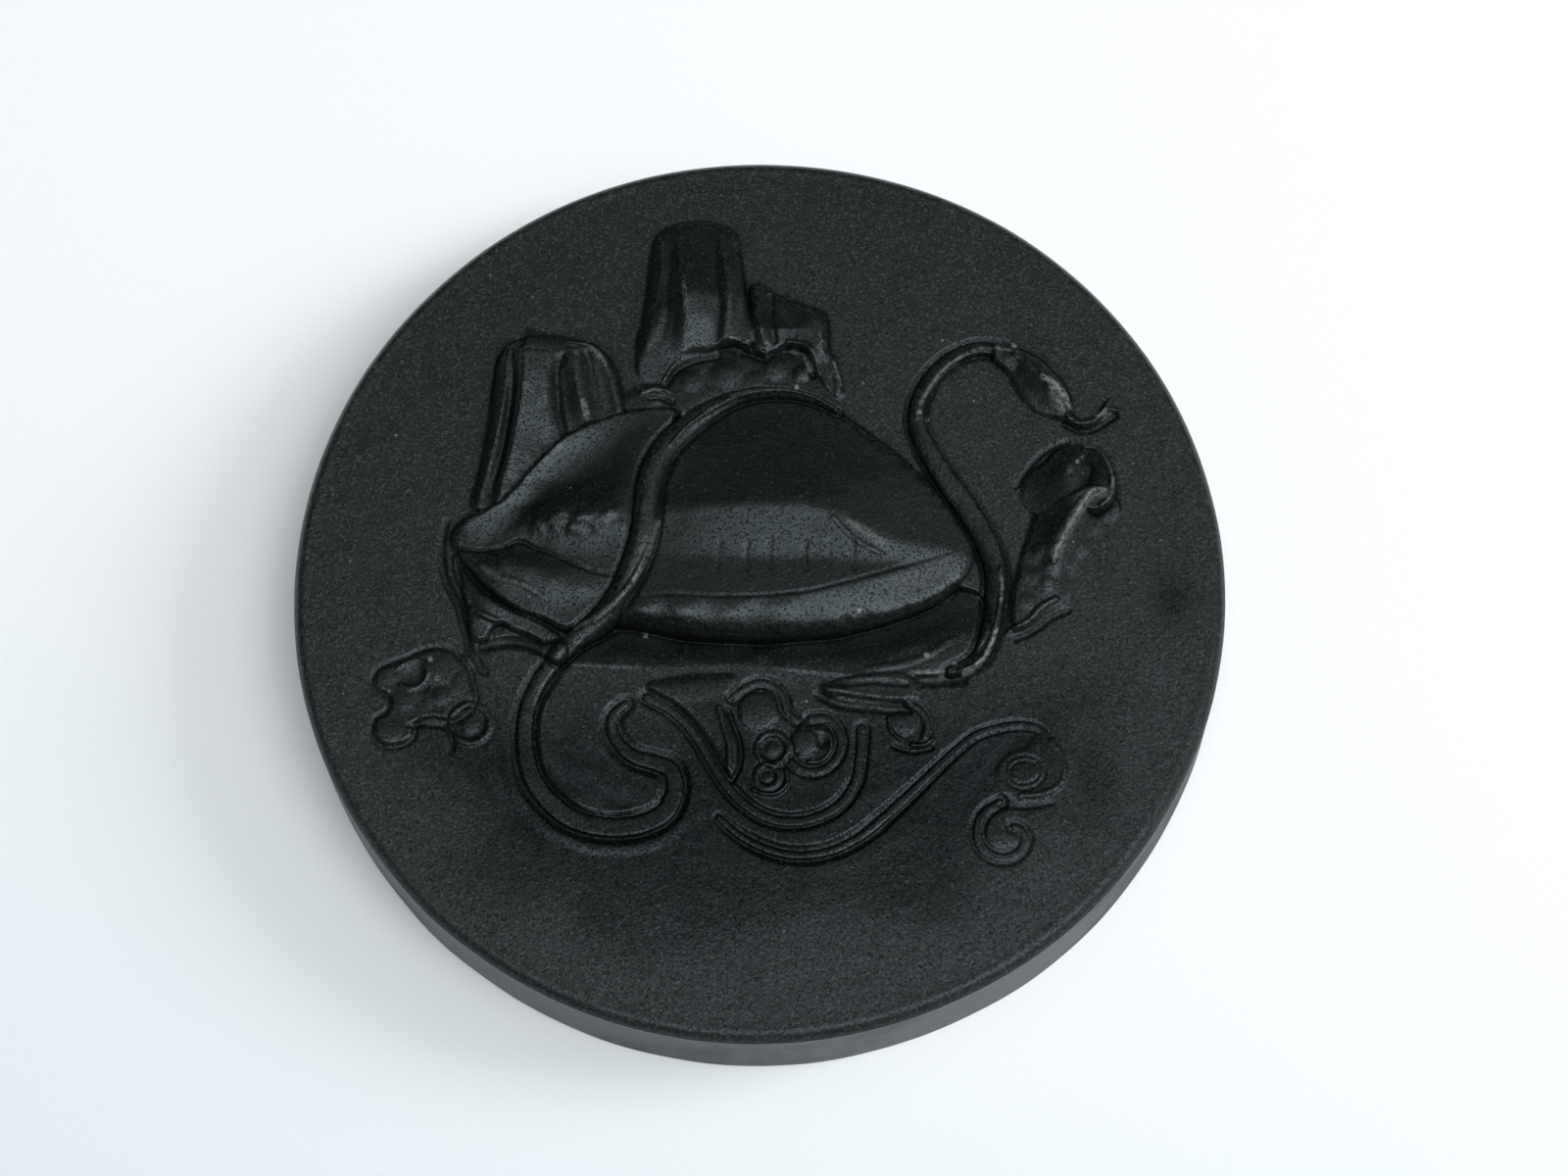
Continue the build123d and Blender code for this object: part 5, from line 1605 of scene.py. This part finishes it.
def studioLight():
    world = bpy.data.worlds.new("studioSky")
    bpy.context.scene.world = world
    world.use_nodes = True
    tree = world.node_tree
    background = tree.nodes["Background"]
    direction = tree.nodes.new("ShaderNodeTexCoord").outputs["Generated"]
    split = tree.nodes.new("ShaderNodeSeparateXYZ")
    link(tree, direction, split.inputs[0])
    parts = []
    for axis, table in ((1, studio["acrossY"]), (0, studio["acrossX"])):
        node = tree.nodes.new("ShaderNodeValToRGB")
        node.color_ramp.interpolation = "LINEAR"
        elements = node.color_ramp.elements
        while len(elements) < len(table):
            elements.new(0.5)
        for element, (lean, value) in zip(elements, table):
            element.position = lean * 0.5 + 0.5
            element.color = (value / 4, value / 4, value / 4, 1)
        link(tree, calc(tree, "ADD", calc(tree, "MULTIPLY", split.outputs[axis], 0.5), 0.5),
             node.inputs[0])
        parts.append(node.outputs[0])
    power = calc(tree, "MULTIPLY", calc(tree, "MULTIPLY", parts[0], parts[1]), 16.0 * studio["strength"])
    link(tree, power, background.inputs["Strength"])
    background.inputs["Color"].default_value = (*studio["tint"], 1)
    # a plain pale backdrop where the sky itself comes into view
    backdrop = tree.nodes.new("ShaderNodeBackground")
    backdrop.inputs["Color"].default_value = studio["backdrop"]
    direct = tree.nodes.new("ShaderNodeLightPath").outputs["Is Camera Ray"]
    mix = tree.nodes.new("ShaderNodeMixShader")
    link(tree, direct, mix.inputs[0])
    link(tree, background.outputs[0], mix.inputs[1])
    link(tree, backdrop.outputs[0], mix.inputs[2])
    link(tree, mix.outputs[0], tree.nodes["World Output"].inputs["Surface"])
    pane = studio["window"]
    lamp = bpy.data.lights.new("rightWindow", "AREA")
    lamp.shape = "RECTANGLE"
    lamp.size = pane["size"]
    lamp.size_y = pane["size"]
    lamp.energy = pane["watts"]
    lamp.color = studio["tint"]
    thing = bpy.data.objects.new("rightWindow", lamp)
    thing.location = pane["place"]
    thing.rotation_euler = (Vector((0, 0, 0.01)) - thing.location).to_track_quat("-Z", "Y").to_euler()
    thing.visible_glossy = False  # it lifts the paper and casts the shade, the sky gives the gloss
    bpy.context.scene.collection.objects.link(thing)


studioLight()

view = {"elevation": 70.796, "distance": 240.212, "aim": (2.625, 1.794, 0.0), "roll": -1.568,
        "lens": 50.0}


def camera():
    data = bpy.data.cameras.new("camera")
    data.lens = view["lens"]
    data.sensor_width = 36.0
    data.clip_start = 0.01
    elevation, roll = math.radians(view["elevation"]), math.radians(view["roll"])
    back = Vector((0, -math.cos(elevation), math.sin(elevation)))
    up = Vector((0, math.sin(elevation), math.cos(elevation)))
    right = Vector((1, 0, 0))
    across = right * math.cos(roll) + up * math.sin(roll)
    upward = up * math.cos(roll) - right * math.sin(roll)
    position = (Vector(view["aim"]) + back * view["distance"]) * mm
    thing = bpy.data.objects.new("camera", data)
    matrix = Matrix((across, upward, back)).transposed().to_4x4()
    matrix.translation = position
    thing.matrix_world = matrix
    bpy.context.scene.collection.objects.link(thing)
    bpy.context.scene.camera = thing


camera()
bpy.context.scene.view_settings.view_transform = "Standard"
print("stage")
